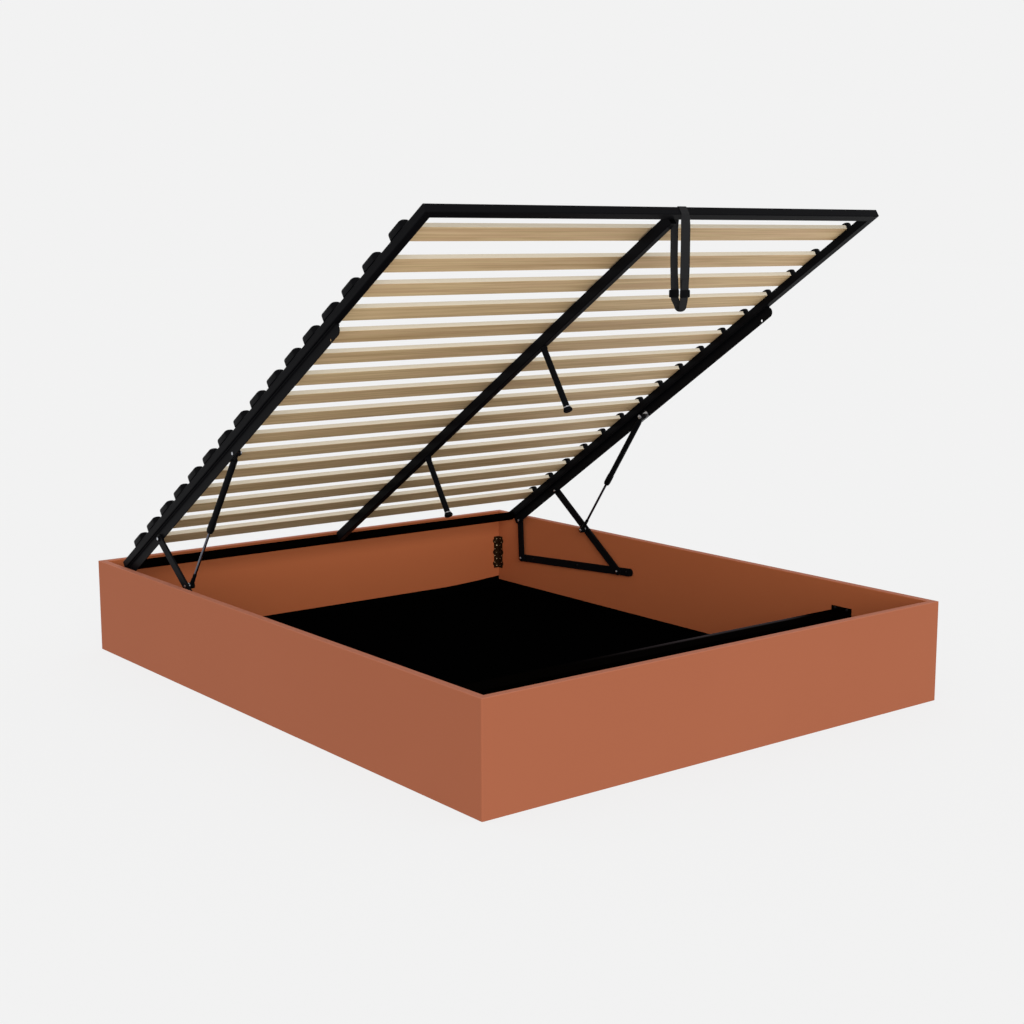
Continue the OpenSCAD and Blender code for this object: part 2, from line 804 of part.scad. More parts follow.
strut_rod(-1);  // strut_rod_left
strut_rod(1);  // strut_rod_right
strut_rod_end(-1);  // strut_rod_end_left
strut_rod_end(1);  // strut_rod_end_right
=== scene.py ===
"""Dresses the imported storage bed: finishes, soft goods, small hardware, studio and camera."""

import logging
import math
from collections.abc import Callable, Mapping, Sequence
from dataclasses import dataclass
from enum import Enum
from typing import Any

import bpy
from mathutils import Matrix, Vector


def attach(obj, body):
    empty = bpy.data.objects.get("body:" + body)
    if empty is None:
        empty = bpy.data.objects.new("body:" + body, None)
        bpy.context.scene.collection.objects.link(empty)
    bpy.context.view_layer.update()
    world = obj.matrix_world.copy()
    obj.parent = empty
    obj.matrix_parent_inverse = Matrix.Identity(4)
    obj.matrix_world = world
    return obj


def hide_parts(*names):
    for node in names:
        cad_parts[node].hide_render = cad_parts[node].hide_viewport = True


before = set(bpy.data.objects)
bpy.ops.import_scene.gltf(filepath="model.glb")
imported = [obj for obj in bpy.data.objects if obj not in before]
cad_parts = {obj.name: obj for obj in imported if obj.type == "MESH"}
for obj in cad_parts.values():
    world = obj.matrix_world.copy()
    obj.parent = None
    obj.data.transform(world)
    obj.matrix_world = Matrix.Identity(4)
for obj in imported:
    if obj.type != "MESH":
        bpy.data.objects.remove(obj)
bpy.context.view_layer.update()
LOG = logging.getLogger("storage_bed")

Number = float | int
Pair = tuple[float, float]
Point = tuple[float, float, float]
Colour = Point
Outline = tuple[Pair, ...]
Piece = bpy.types.Object


class Slot(Enum):
    """Names of material slots; GasStruts lists one for each of its pieces, but nothing reads them."""

    CLOTH = "floor_cloth"
    STEEL = "black_steel"
    ZINC = "bright_steel"
    PLASTIC = "black_plastic"
    WEBBING = "webbing"


class Body(Enum):
    """The CAD bodies that new pieces ride on."""

    BOX = "box"
    BASE = "slatted_base"
    CYLINDER_LEFT = "cylinder_left"
    CYLINDER_RIGHT = "cylinder_right"
    ROD_LEFT = "rod_left"
    ROD_RIGHT = "rod_right"


class Side(Enum):
    """The bed's two long sides, seen from its foot end."""

    LEFT = -1
    RIGHT = 1

    @property
    def word(self) -> str:
        """The side as it stands in the names of pieces."""
        return self.name.lower()


# ---------------------------------------------------------------- shader arithmetic


class Signal:
    """A socket of a material's node tree. Arithmetic on a number signal adds Math nodes."""

    def __init__(self, shader: "Shader", socket: bpy.types.NodeSocket) -> None:
        """Keeps the socket and the shader that it belongs to."""
        self.shader = shader
        self.socket = socket

    def _math(self, operation: str, *values: "Signal | Number") -> "Signal":
        """Adds one Math node on the values."""
        made = self.shader.node("ShaderNodeMath", {"operation": operation}, dict(enumerate(values)))
        return Signal(self.shader, made.outputs[0])

    def __add__(self, other: "Signal | Number") -> "Signal":
        """self + other."""
        return self._math("ADD", self, other)

    __radd__ = __add__

    def __sub__(self, other: "Signal | Number") -> "Signal":
        """self - other."""
        return self._math("SUBTRACT", self, other)

    def __rsub__(self, other: Number) -> "Signal":
        """other - self."""
        return self._math("SUBTRACT", other, self)

    def __mul__(self, other: "Signal | Number") -> "Signal":
        """self * other."""
        return self._math("MULTIPLY", self, other)

    __rmul__ = __mul__

    def __truediv__(self, other: "Signal | Number") -> "Signal":
        """self / other."""
        return self._math("DIVIDE", self, other)

    def floor(self) -> "Signal":
        """The whole number below."""
        return self._math("FLOOR", self)

    def size(self) -> "Signal":
        """The value without its sign."""
        return self._math("ABSOLUTE", self)

    def sine(self) -> "Signal":
        """The sine of the value in radians."""
        return self._math("SINE", self)

    def lowest(self, other: "Signal | Number") -> "Signal":
        """The lower of two values."""
        return self._math("MINIMUM", self, other)

    def step(self, low: float, high: float) -> "Signal":
        """Rises smoothly with the value.

        Args:
            low: Where it is still 0.
            high: Where it is 1.

        Returns:
            The rise.
        """
        ends = {0: self, 1: low, 2: high, 3: 0.0, 4: 1.0}
        made = self.shader.node("ShaderNodeMapRange", {"interpolation_type": "SMOOTHSTEP"}, ends)
        return Signal(self.shader, made.outputs[0])


@dataclass(frozen=True)
class Noise:
    """Smooth noise: cells per metre, number of finer layers, and the share that each of them adds."""

    scale: float = 1.0
    detail: float = 2.0
    roughness: float = 0.5


class Shader:
    """One material under construction: a Principled shader and the nodes that feed it."""

    def __init__(self, name: str) -> None:
        """Starts an empty material.

        Args:
            name: The material's name.
        """
        self.material = bpy.data.materials.new(name)
        self.material.use_nodes = True
        self.tree = self.material.node_tree
        self.tree.nodes.clear()
        self.surface = self.tree.nodes.new("ShaderNodeBsdfPrincipled")
        output = self.tree.nodes.new("ShaderNodeOutputMaterial")
        self.tree.links.new(self.surface.outputs["BSDF"], output.inputs["Surface"])

    def node(
        self,
        kind: str,
        settings: Mapping[str, Any] | None = None,
        inputs: Mapping[int | str, Any] | None = None,
    ) -> bpy.types.Node:
        """Adds a node, sets it up and feeds it.

        Args:
            kind: The node's type.
            settings: Its properties.
            inputs: Values or signals for its sockets, by index or name.

        Returns:
            The new node.
        """
        made = self.tree.nodes.new(kind)
        for name, value in (settings or {}).items():
            setattr(made, name, value)
        self.feed(made, inputs or {})
        return made

    def feed(self, node: bpy.types.Node, inputs: Mapping[int | str, Any]) -> None:
        """Links signals to a node's sockets, or sets their values.

        Args:
            node: The node.
            inputs: Values or signals for its sockets, by index or name.
        """
        for key, value in inputs.items():
            socket = node.inputs[key]
            if isinstance(value, Signal):
                self.tree.links.new(value.socket, socket)
            elif isinstance(value, tuple) and socket.type == "RGBA":
                socket.default_value = (*value, 1.0)
            else:
                socket.default_value = value

    def set(self, **inputs: Any) -> None:
        """Sets the Principled shader's sockets; underscores in a name stand for spaces."""
        self.feed(self.surface, {name.replace("_", " "): value for name, value in inputs.items()})

    def coordinates(self, output: str = "Object") -> Signal:
        """One output of Texture Coordinate."""
        return Signal(self, self.node("ShaderNodeTexCoord").outputs[output])

    def split(self, vector: Signal) -> tuple[Signal, Signal, Signal]:
        """The three numbers of a vector."""
        x, y, z = self.node("ShaderNodeSeparateXYZ", inputs={0: vector}).outputs
        return Signal(self, x), Signal(self, y), Signal(self, z)

    def join(self, x: Signal | Number, y: Signal | Number, z: Signal | Number) -> Signal:
        """A vector of three numbers."""
        made = self.node("ShaderNodeCombineXYZ", inputs={0: x, 1: y, 2: z})
        return Signal(self, made.outputs[0])

    def noise(self, vector: Signal, noise: Noise) -> Signal:
        """Reads a noise.

        Args:
            vector: Where it is read.
            noise: The noise.

        Returns:
            A value from 0 to 1.
        """
        cells = {"Scale": noise.scale, "Detail": noise.detail, "Roughness": noise.roughness}
        made = self.node("ShaderNodeTexNoise", inputs={"Vector": vector, **cells})
        return Signal(self, made.outputs[0])

    def chance(self, value: Signal) -> Signal:
        """A random number from 0 to 1 for each value."""
        made = self.node("ShaderNodeTexWhiteNoise", {"noise_dimensions": "1D"}, {"W": value})
        return Signal(self, made.outputs[0])

    def mix(self, share: Signal | Number, first: Signal | Colour, second: Signal | Colour) -> Signal:
        """A colour between two others."""
        made = self.node("ShaderNodeMix", {"data_type": "RGBA"}, {0: share, 6: first, 7: second})
        return Signal(self, made.outputs[2])

    def along(self, vector: Signal, direction: Point) -> Signal:
        """How far a vector goes in a direction."""
        made = self.node("ShaderNodeVectorMath", {"operation": "DOT_PRODUCT"}, {0: vector, 1: direction})
        return Signal(self, made.outputs["Value"])

    def bump(self, height: Signal, depth: float, strength: float) -> None:
        """Lets a height from 0 to 1 feed the shader's normal.

        Args:
            height: The height.
            depth: What a height of 1 is, in metres.
            strength: The share of the effect that is used.
        """
        made = self.node("ShaderNodeBump", inputs={"Height": height, "Distance": depth, "Strength": strength})
        self.set(Normal=Signal(self, made.outputs[0]))


# ---------------------------------------------------------------- the base's own frame


@dataclass(frozen=True)
class BaseFrame:
    """Place and tilt of the raised slatted base: s runs from its foot end, n lies below its top."""

    foot_y: float = -0.730238
    foot_z: float = 1.31518
    tilt: float = math.radians(33.0216)

    def at(self, x: float, s: float, n: float) -> Vector:
        """A point of the base in the row frame."""
        cosine, sine = math.cos(self.tilt), math.sin(self.tilt)
        return Vector((x, self.foot_y + s * cosine - n * sine, self.foot_z - s * sine - n * cosine))

    def place(self, x: float, s: float, n: float, lean: float = 0.0) -> Matrix:
        """Sets a model on the base.

        Args:
            x: Its place across the bed.
            s: Its place along the base.
            n: Its depth under the base's top.
            lean: How far it is turned past the base's tilt.

        Returns:
            The model's place.
        """
        return Matrix.Translation(self.at(x, s, n)) @ Matrix.Rotation(-self.tilt - lean, 4, "X")

    @property
    def lengthways(self) -> Point:
        """The direction of s."""
        return (0.0, math.cos(self.tilt), -math.sin(self.tilt))

    @property
    def down(self) -> Point:
        """The direction of n."""
        return (0.0, -math.sin(self.tilt), -math.cos(self.tilt))

    def measure(self, shader: Shader, vector: Signal, way: Point) -> Signal:
        """How far an object coordinate lies from the foot end, along one direction of the base.

        Args:
            shader: The material under construction.
            vector: The object coordinate.
            way: The direction.

        Returns:
            The way in metres.
        """
        return shader.along(vector, way) + (-self.foot_y * way[1] - self.foot_z * way[2])


BASE = BaseFrame()


@dataclass(frozen=True)
class Pivots:
    """Centres of the pivots in [y, z], and where their heads end beside the panels and the base."""

    arm: Pair = (0.2927, 0.1595)
    link: Pair = (0.8016, 0.1267)
    arm_pin: Pair = (0.609506, 0.390753)
    link_pin: Pair = (0.80948, 0.260781)
    stud: Pair = (0.454241, 0.277417)
    strut_pin: Pair = (0.166398, 0.68173)
    ground_head: float = 0.7311
    frame_head: float = 0.7280
    arm_pin_end: float = 0.7449
    strut_x: float = 0.7211


PIVOTS = Pivots()


# ---------------------------------------------------------------- finishes


@dataclass(frozen=True)
class Finish:
    """A surface finish that makes its material once."""

    name: str

    def paint(self, shader: Shader) -> None:
        """Adds the finish's nodes.

        Args:
            shader: The material under construction.
        """
        raise NotImplementedError

    def material(self) -> bpy.types.Material:
        """Makes the finish's material at its first use.

        Returns:
            The material.
        """
        found = bpy.data.materials.get(self.name)
        if found is None:
            shader = Shader(self.name)
            self.paint(shader)
            found = shader.material
        return found


@dataclass(frozen=True)
class MattLacquer(Finish):
    """Matt terracotta lacquer on board, with painted bounce light (a lighter, warmer colour) on the box's
    inner faces and a painted highlight along the panels' top edges.
    """

    colour: Colour = (0.314, 0.0995, 0.0495)
    shade: Colour = (0.296, 0.0928, 0.0457)
    # Painted bounce light: the box's inner faces get a lighter, warmer colour that stands in for light
    # bounced between the walls.
    bounce_lit_colour: Colour = (0.384, 0.1085, 0.0405)
    bounce_lit_dark: Colour = (0.363, 0.1017, 0.0377)
    inner_reach: Pair = (0.7490, 0.9490)
    blur: float = 0.0003
    # Painted highlight: a lighter colour on the panels' top edges, where light from above falls.
    rim_colour: Colour = (0.362, 0.1280, 0.0760)
    rim: Pair = (0.2730, 0.2744)
    mottle: Noise = Noise(3.5, 3.0, 0.6)
    grit: Noise = Noise(900.0)
    grit_share: float = 0.35
    peel: Noise = Noise(420.0, roughness=0.4)
    peel_share: float = 0.8
    relief: Pair = (0.00012, 0.35)
    roughness: float = 0.66
    spread: float = 0.08
    gloss: float = 0.05

    def paint(self, shader: Shader) -> None:
        """Adds the lacquer's mottle, the painted bounce light on the inner faces, the painted highlight on
        the panels' top edges, and the orange peel.

        Args:
            shader: The material under construction.
        """
        place = shader.coordinates()
        mottle = shader.noise(place, self.mottle)
        grit = shader.noise(place, self.grit)
        x, y, z = shader.split(place)
        reach_x, reach_y = self.inner_reach
        # Mask of the box's inner faces, where the painted bounce light goes.
        inside = (reach_x - x.size()).lowest(reach_y - y.size()).step(-self.blur, self.blur)
        share = self.grit_share * grit + (1 - self.grit_share) * mottle
        outer = shader.mix(share, self.shade, self.colour)
        wall_with_bounce = shader.mix(inside, outer, shader.mix(share, self.bounce_lit_dark, self.bounce_lit_colour))
        shader.set(
            # The band at the top of the panels gets the painted highlight.
            Base_Color=shader.mix(z.step(*self.rim), wall_with_bounce, self.rim_colour),
            Roughness=grit * self.spread + (self.roughness - self.spread / 2),
            Specular_IOR_Level=self.gloss,
        )
        peel = shader.noise(place, self.peel)
        shader.bump(peel * self.peel_share + grit * (1 - self.peel_share), *self.relief)


@dataclass(frozen=True)
class PowderCoat(Finish):
    """Satin powder coat on steel, with its fine grain."""

    colour: Colour = (0.0027, 0.0027, 0.0032)
    lighter: float = 1.5
    roughness: float = 0.34
    index: float = 1.078
    grain: Noise = Noise(1500.0, roughness=0.55)
    grain_spread: float = 0.06
    cloud: Noise = Noise(14.0)
    cloud_spread: float = 0.08
    relief: Pair = (0.00006, 0.5)

    def tint(self, shader: Shader, place: Signal, grain: Signal) -> Signal:
        """The coat's colour, a little lighter on its grain."""
        return shader.mix(grain, self.colour, tuple(channel * self.lighter for channel in self.colour))

    def paint(self, shader: Shader) -> None:
        """Adds the coat's grain and small changes of gloss.

        Args:
            shader: The material under construction.
        """
        place = shader.coordinates()
        grain = shader.noise(place, self.grain)
        cloud = shader.noise(place, self.cloud)
        middle = self.roughness - (self.grain_spread + self.cloud_spread) / 2
        shader.set(
            Base_Color=self.tint(shader, place, grain),
            Roughness=cloud * self.cloud_spread + grain * self.grain_spread + middle,
            IOR=self.index,
        )
        shader.bump(grain, *self.relief)


@dataclass(frozen=True)
class EdgeHighlightCoat(PowderCoat):
    """A coat with a painted highlight along the crossbar's far top edge, where its bend catches the light."""

    # Painted highlight: the colour of the lighter band on the crossbar's far top edge.
    painted_highlight: Colour = (0.036, 0.030, 0.032)
    edge: Pair = (-0.6400, -0.6240)
    fade: Pair = (-0.35, 0.30)
    stop: Pair = (0.660, 0.529)

    def tint(self, shader: Shader, place: Signal, grain: Signal) -> Signal:
        """Adds the painted highlight along the far edge to the coat's colour.

        Args:
            shader: The material under construction.
            place: The object coordinate.
            grain: The coat's grain.

        Returns:
            The colour.
        """
        x, y, _ = shader.split(place)
        fade = x.step(*self.fade)
        # Where the painted highlight lies: a band on the far edge, faded in and out along x.
        share = y.step(*self.edge) * fade * fade * x.step(*self.stop)
        return shader.mix(share, super().tint(shader, place, grain), self.painted_highlight)


@dataclass(frozen=True)
class MetalPlate(Finish):
    """Bright plated or ground metal with a faint cloud."""

    colour: Colour = (0.62, 0.63, 0.66)
    dull: Colour = (0.40, 0.41, 0.46)
    roughness: float = 0.26
    cloud: Noise = Noise(180.0, 3.0, 0.6)
    cloud_spread: float = 0.08
    scratch: Noise = Noise(2600.0)
    scratch_spread: float = 0.12
    relief: Pair = (0.00003, 0.4)

    def paint(self, shader: Shader) -> None:
        """Adds the plating's clouds and fine scratches.

        Args:
            shader: The material under construction.
        """
        place = shader.coordinates()
        cloud = shader.noise(place, self.cloud)
        scratch = shader.noise(place, self.scratch)
        smoothest = self.roughness - self.cloud_spread
        shader.set(
            Base_Color=shader.mix(cloud, self.dull, self.colour),
            Metallic=1.0,
            Roughness=scratch * self.scratch_spread + cloud * self.cloud_spread + smoothest,
        )
        shader.bump(scratch, *self.relief)


@dataclass(frozen=True)
class PanelScrews(Finish):
    """Bronzed screws in the corner brackets, black ones everywhere else."""

    bronze: Colour = (0.070, 0.036, 0.016)
    worn: Colour = (0.030, 0.015, 0.006)
    black: Colour = (0.0022, 0.0021, 0.0026)
    corner: Pair = (0.899, 0.901)
    cloud: Noise = Noise(350.0, roughness=0.6)
    smoothest: float = 0.26
    spread: float = 0.1
    index: float = 1.25
    relief: Pair = (0.00004, 0.4)

    def paint(self, shader: Shader) -> None:
        """Tells the corners' screws from the others by their place along the bed.

        Args:
            shader: The material under construction.
        """
        place = shader.coordinates()
        _, y, _ = shader.split(place)
        corner = y.size().step(*self.corner)
        cloud = shader.noise(place, self.cloud)
        bright = shader.mix(cloud, self.worn, self.bronze)
        shader.set(
            Base_Color=shader.mix(corner, self.black, bright),
            Metallic=corner,
            Roughness=cloud * self.spread + self.smoothest,
            IOR=self.index,
        )
        shader.bump(cloud, *self.relief)


@dataclass(frozen=True)
class BeechLaminate(Finish):
    """Bent-laminated beech: grain along each slat, its own tone per slat, and layers on the edges.

    flame, patch, fibre, pore, vein and blush are cells per metre along and across the slat.
    """

    pale: Colour = (0.70, 0.520, 0.290)
    dark: Colour = (0.44, 0.292, 0.140)
    rosy: Colour = (0.59, 0.385, 0.225)
    edge: Colour = (0.58, 0.515, 0.405)
    seam: Colour = (0.47, 0.395, 0.280)
    first_s: float = 0.113
    step_s: float = 0.107214
    layer: float = 0.0021
    spacing: float = 9.0
    flame: Pair = (1.6, 62.0)
    patch: Pair = (4.5, 9.0)
    fibre: Pair = (7.0, 420.0)
    pore: Pair = (60.0, 1500.0)
    vein: Pair = (2.4, 150.0)
    blush: Pair = (3.0, 95.0)
    smoothest: float = 0.52
    spread: float = 0.15
    gloss: float = 0.3
    relief: Pair = (0.00012, 0.5)

    def _grain(
        self,
        shader: Shader,
        place: tuple[Signal, Signal, Signal],
        cells: Pair,
        shift: tuple[Signal | Number, Signal | Number, Signal | Number],
        layers: Noise,
    ) -> Signal:
        """Reads noise that is stretched along the slat.

        Args:
            shader: The material under construction.
            place: The place across the bed, along the base and under its top.
            cells: Cells per metre along and across the slat.
            shift: What is added to each of the three.
            layers: The noise's finer layers.

        Returns:
            A value from 0 to 1.
        """
        along, across = cells
        x, s, n = (part * scale + more for part, scale, more in zip(place, (along, across, across), shift))
        return shader.noise(shader.join(x, s, n), layers)

    def paint(self, shader: Shader) -> None:
        """Adds grain, pores, tones of the single slats and the edges' layers.

        Args:
            shader: The material under construction.
        """
        place = shader.coordinates()
        x, _, _ = shader.split(place)
        s = BASE.measure(shader, place, BASE.lengthways)
        n = BASE.measure(shader, place, BASE.down)
        slat = ((s - self.first_s) / self.step_s + 0.5).floor()
        tone = shader.chance(slat)
        shift = tone * self.spacing
        away = 0.0 - shift
        deep, plain = Noise(detail=3.0, roughness=0.6), Noise()
        flame = self._grain(shader, (x, s, n), self.flame, (shift, shift, 0.0), deep)
        fibre = self._grain(shader, (x, s, n), self.fibre, (shift, 0.0, 0.0), deep)
        vein = self._grain(shader, (x, s, n), self.vein, (away, 0.0, 0.0), deep)
        pore = self._grain(shader, (x, s, n), self.pore, (0.0, 0.0, shift), Noise(detail=1.0))
        blush = self._grain(shader, (x, s, n), self.blush, (4.0, away, 0.0), plain)
        patch = shader.noise(shader.join(x * self.patch[0] + shift, s * self.patch[1], shift), plain)
        grain = flame.step(0.38, 0.62) * 0.35 + vein.step(0.42, 0.58) * 0.45 + patch * 0.2 + tone * 0.3 - 0.15
        wood = shader.mix(grain, self.dark, self.pale)
        rose = blush.step(0.42, 0.60) * (0.35 + 0.65 * shader.chance(slat + 0.5)) * 0.5
        wood = shader.mix(rose, wood, self.rosy)
        wood = shader.mix(pore.step(0.66, 0.8) * 0.45, wood, self.dark)
        layers = ((n / self.layer) * math.tau).sine() * 0.5 + 0.5
        side = shader.mix(layers.step(0.75, 0.95), self.edge, self.seam)
        facing = shader.along(shader.coordinates("Normal"), BASE.lengthways).size().step(0.55, 0.85)
        shader.set(
            Base_Color=shader.mix(facing, wood, side),
            Roughness=fibre * self.spread + self.smoothest,
            Specular_IOR_Level=self.gloss,
        )
        shader.bump(fibre * 0.7 + pore * 0.3, *self.relief)


@dataclass(frozen=True)
class MouldedPlastic(Finish):
    """Black moulded plastic with a fine spark-eroded texture."""

    colour: Colour = (0.0021, 0.0021, 0.0025)
    lighter: float = 1.4
    roughness: float = 0.38
    spread: float = 0.12
    index: float = 1.09
    spark: Noise = Noise(1900.0, roughness=0.6)
    cloud: Noise = Noise(30.0)
    relief: Pair = (0.00008, 0.5)

    def paint(self, shader: Shader) -> None:
        """Adds the mould's texture.

        Args:
            shader: The material under construction.
        """
        place = shader.coordinates()
        spark = shader.noise(place, self.spark)
        cloud = shader.noise(place, self.cloud)
        lighter = tuple(channel * self.lighter for channel in self.colour)
        shader.set(
            Base_Color=shader.mix(cloud, self.colour, lighter),
            Roughness=spark * self.spread + (self.roughness - self.spread / 2),
            IOR=self.index,
        )
        shader.bump(spark, *self.relief)


@dataclass(frozen=True)
class FeltedCloth(Finish):
    """Black non-woven cloth: short fibres in all directions, with the dots that bond them."""

    colour: Colour = (0.0002, 0.0002, 0.0002)
    fibre_colour: Colour = (0.0012, 0.0012, 0.0013)
    fibre: Pair = (300.0, 900.0)
    layers: Noise = Noise(detail=3.0, roughness=0.7)
    second_slice: float = 5.0
    dot_pitch: float = 0.0022
    smoothest: float = 0.85
    spread: float = 0.1
    relief: Pair = (0.0002, 0.6)

    def paint(self, shader: Shader) -> None:
        """Adds fibres and bonding dots on the cloth's own cut.

        Args:
            shader: The material under construction.
        """
        cut = shader.coordinates("UV")
        u, v, _ = shader.split(cut)
        long, short = self.fibre
        along = shader.noise(shader.join(u * long, v * short, 0.0), self.layers)
        across = shader.noise(shader.join(u * short, v * long, self.second_slice), self.layers)
        turn = math.tau / self.dot_pitch
        dots = ((u * turn).sine() * (v * turn).sine()).step(0.35, 0.75)
        lay = along * 0.5 + across * 0.5
        shader.set(
            Base_Color=shader.mix(lay.step(0.4, 0.75), self.colour, self.fibre_colour),
            Roughness=lay * self.spread + self.smoothest,
            Specular_IOR_Level=0.0,
        )
        shader.bump(lay - dots * 0.5, *self.relief)


@dataclass(frozen=True)
class RibbedWebbing(Finish):
    """Black woven webbing: slanted yarns in lengthwise ribs, with tight selvedges."""

    colour: Colour = (0.0022, 0.0022, 0.0028)
    yarn_colour: Colour = (0.0085, 0.0085, 0.0095)
    rib: float = 0.0022
    yarn: float = 0.0013
    slant: float = 0.8
    fuzz: float = 2500.0
    smoothest: float = 0.72
    spread: float = 0.1
    gloss: float = 0.2
    relief: Pair = (0.00025, 0.7)

    def paint(self, shader: Shader) -> None:
        """Adds ribs and yarns on the strap's own length and width.

        Args:
            shader: The material under construction.
        """
        cut = shader.coordinates("UV")
        across, length, _ = shader.split(cut)
        lean = (across / self.rib * math.pi).sine().size()
        yarns = ((length / self.yarn + lean * self.slant) * math.tau).sine() * 0.5 + 0.5
        fuzz = shader.noise(shader.join(across * self.fuzz, length * self.fuzz, 0.0), Noise())
        raised = yarns * 0.5 + lean * 0.5
        shader.set(
            Base_Color=shader.mix(raised * 0.8 + fuzz * 0.2, self.colour, self.yarn_colour),
            Roughness=fuzz * self.spread + self.smoothest,
            Specular_IOR_Level=self.gloss,
        )
        shader.bump(raised * 0.85 + fuzz * 0.15, *self.relief)


# The lacquer carries painted bounce light on the box's inner faces and a painted highlight on the panels' top
# edges.
LACQUER = MattLacquer("matt terracotta lacquer")
COAT = PowderCoat("black powder coat")
DULL_COAT = PowderCoat("dull black coat", colour=(0.0006, 0.0003, 0.0002), roughness=0.5, index=1.012)
# The crossbar's coat carries a painted highlight along its far top edge.
CROSSBAR_COAT = EdgeHighlightCoat("rubbed black coat", colour=(0.0005, 0.0003, 0.0002), roughness=0.5, index=1.006)
LEAF_COAT = PowderCoat("brown-black coat", colour=(0.0125, 0.0055, 0.0022), roughness=0.45)
ZINC = MetalPlate("bright zinc")
ROD = MetalPlate("dark ground rod", colour=(0.150, 0.155, 0.185), dull=(0.060, 0.060, 0.078), roughness=0.2)
BRASS = MetalPlate("brass nails", colour=(0.82, 0.68, 0.46), dull=(0.55, 0.42, 0.25))
SCREWS = PanelScrews("panel screws")
BEECH = BeechLaminate("laminated beech")
PLASTIC = MouldedPlastic("black moulded plastic")
CLOTH = FeltedCloth("black non-woven cloth")
WEBBING = RibbedWebbing("black webbing")


# ---------------------------------------------------------------- workbench


class Workbench:
    """Modelling steps as by hand: primitives, edit-mode operators and applied modifiers."""

    @staticmethod
    def clear() -> None:
        """Leaves edit mode and deselects everything."""
        if bpy.context.mode != "OBJECT":
            bpy.ops.object.mode_set(mode="OBJECT")
        bpy.ops.object.select_all(action="DESELECT")

    @staticmethod
    def take(name: str) -> Piece:
        """Names the piece that is active.

        Args:
            name: The piece's name.

        Returns:
            The piece.
        """
        piece = bpy.context.active_object
        piece.name = name
        piece.data.name = name
        return piece

    @staticmethod
    def settle(piece: Piece) -> Piece:
        """Puts a piece's place into its mesh, so that its object sits at the origin.

        Args:
            piece: The piece.

        Returns:
            The piece.
        """
        piece.data.transform(piece.matrix_world)
        piece.matrix_world = Matrix.Identity(4)
        return piece

    @classmethod
    def only(cls, piece: Piece) -> None:
        """Selects one piece and makes it active.

        Args:
            piece: The piece.
        """
        cls.clear()
        piece.select_set(True)
        bpy.context.view_layer.objects.active = piece

    @classmethod
    def edit(cls, piece: Piece, action: str = "DESELECT") -> None:
        """Goes into edit mode on one piece.

        Args:
            piece: The piece.
            action: SELECT or DESELECT, for all of it.
        """
        cls.only(piece)
        bpy.ops.object.mode_set(mode="EDIT")
        bpy.ops.mesh.select_all(action=action)

    @classmethod
    def pick(cls, piece: Piece, kind: str, wanted: Callable[[Any], bool]) -> None:
        """Goes into edit mode with some parts of a mesh selected.

        Args:
            piece: The piece.
            kind: VERT, EDGE or FACE.
            wanted: Tells whether a part is selected.
        """
        cls.edit(piece)
        bpy.ops.mesh.select_mode(type=kind)
        bpy.ops.object.mode_set(mode="OBJECT")
        mesh = piece.data
        for part in {"VERT": mesh.vertices, "EDGE": mesh.edges, "FACE": mesh.polygons}[kind]:
            part.select = wanted(part)
        bpy.ops.object.mode_set(mode="EDIT")

    @classmethod
    def turn_outward(cls) -> None:
        """Points all faces of the edited piece outward and leaves edit mode."""
        bpy.ops.mesh.select_all(action="SELECT")
        bpy.ops.mesh.normals_make_consistent(inside=False)
        bpy.ops.object.mode_set(mode="OBJECT")

    @classmethod
    def modify(cls, piece: Piece, kind: str, **settings: Any) -> None:
        """Adds a modifier and applies it.

        Args:
            piece: The piece that it works on.
            kind: The modifier's type.
            **settings: Its properties.
        """
        cls.only(piece)
        made = piece.modifiers.new(kind.lower(), kind)
        for name, value in settings.items():
            setattr(made, name, value)
        bpy.ops.object.modifier_apply(modifier=made.name)

    @classmethod
    def smooth(cls, piece: Piece, angle: float) -> None:
        """Shades a piece smooth where its faces meet at less than an angle in degrees."""
        cls.only(piece)
        bpy.ops.object.shade_smooth_by_angle(angle=math.radians(angle))

    @classmethod
    def cuboid(cls, name: str, size: Point, middle: Point) -> Piece:
        """Adds a cube and gives it a size and a place in its mesh.

        Args:
            name: The piece's name.
            size: Its whole size along x, y and z.
            middle: Its middle.

        Returns:
            The piece.
        """
        cls.clear()
        bpy.ops.mesh.primitive_cube_add(size=1, location=middle)
        piece = cls.take(name)
        piece.scale = size
        bpy.context.view_layer.update()
        return cls.settle(piece)

    @classmethod
    def block(cls, name: str, size: Point, edge: float, segments: int = 3) -> Piece:
        """Makes a block with rounded edges round the origin.

        Args:
            name: The piece's name.
            size: Its whole size along x, y and z.
            edge: The radius of its edges.
            segments: Steps in the rounding.

        Returns:
            The piece, still at the origin.
        """
        piece = cls.cuboid(name, size, (0, 0, 0))
        cls.modify(piece, "BEVEL", width=edge, segments=segments, limit_method="NONE")
        cls.smooth(piece, 50.0)
        return piece

    @classmethod
    def turned(cls, name: str, steps: Sequence[Pair], sides: int = 32) -> Piece:
        """Turns a solid on its own z axis by drawing out a disc step by step.

        Args:
            name: The piece's name.
            steps: (height, radius) pairs from the first end to the last.
            sides: Faces round the axis.

        Returns:
            The piece, still at the origin.
        """
        cls.clear()
        height, radius = steps[0]
        bpy.ops.mesh.primitive_circle_add(
            vertices=sides, radius=radius, fill_type="NGON", location=(0, 0, height)
        )
        piece = cls.settle(cls.take(name))
        cls.edit(piece, "SELECT")
        for next_height, next_radius in steps[1:]:
            bpy.ops.mesh.extrude_region_move(TRANSFORM_OT_translate={"value": (0, 0, next_height - height)})
            share = next_radius / radius
            bpy.ops.transform.resize(value=(share, share, 1), center_override=(0, 0, next_height))
            height, radius = next_height, next_radius
        cls.turn_outward()
        cls.smooth(piece, 35.0)
        return piece

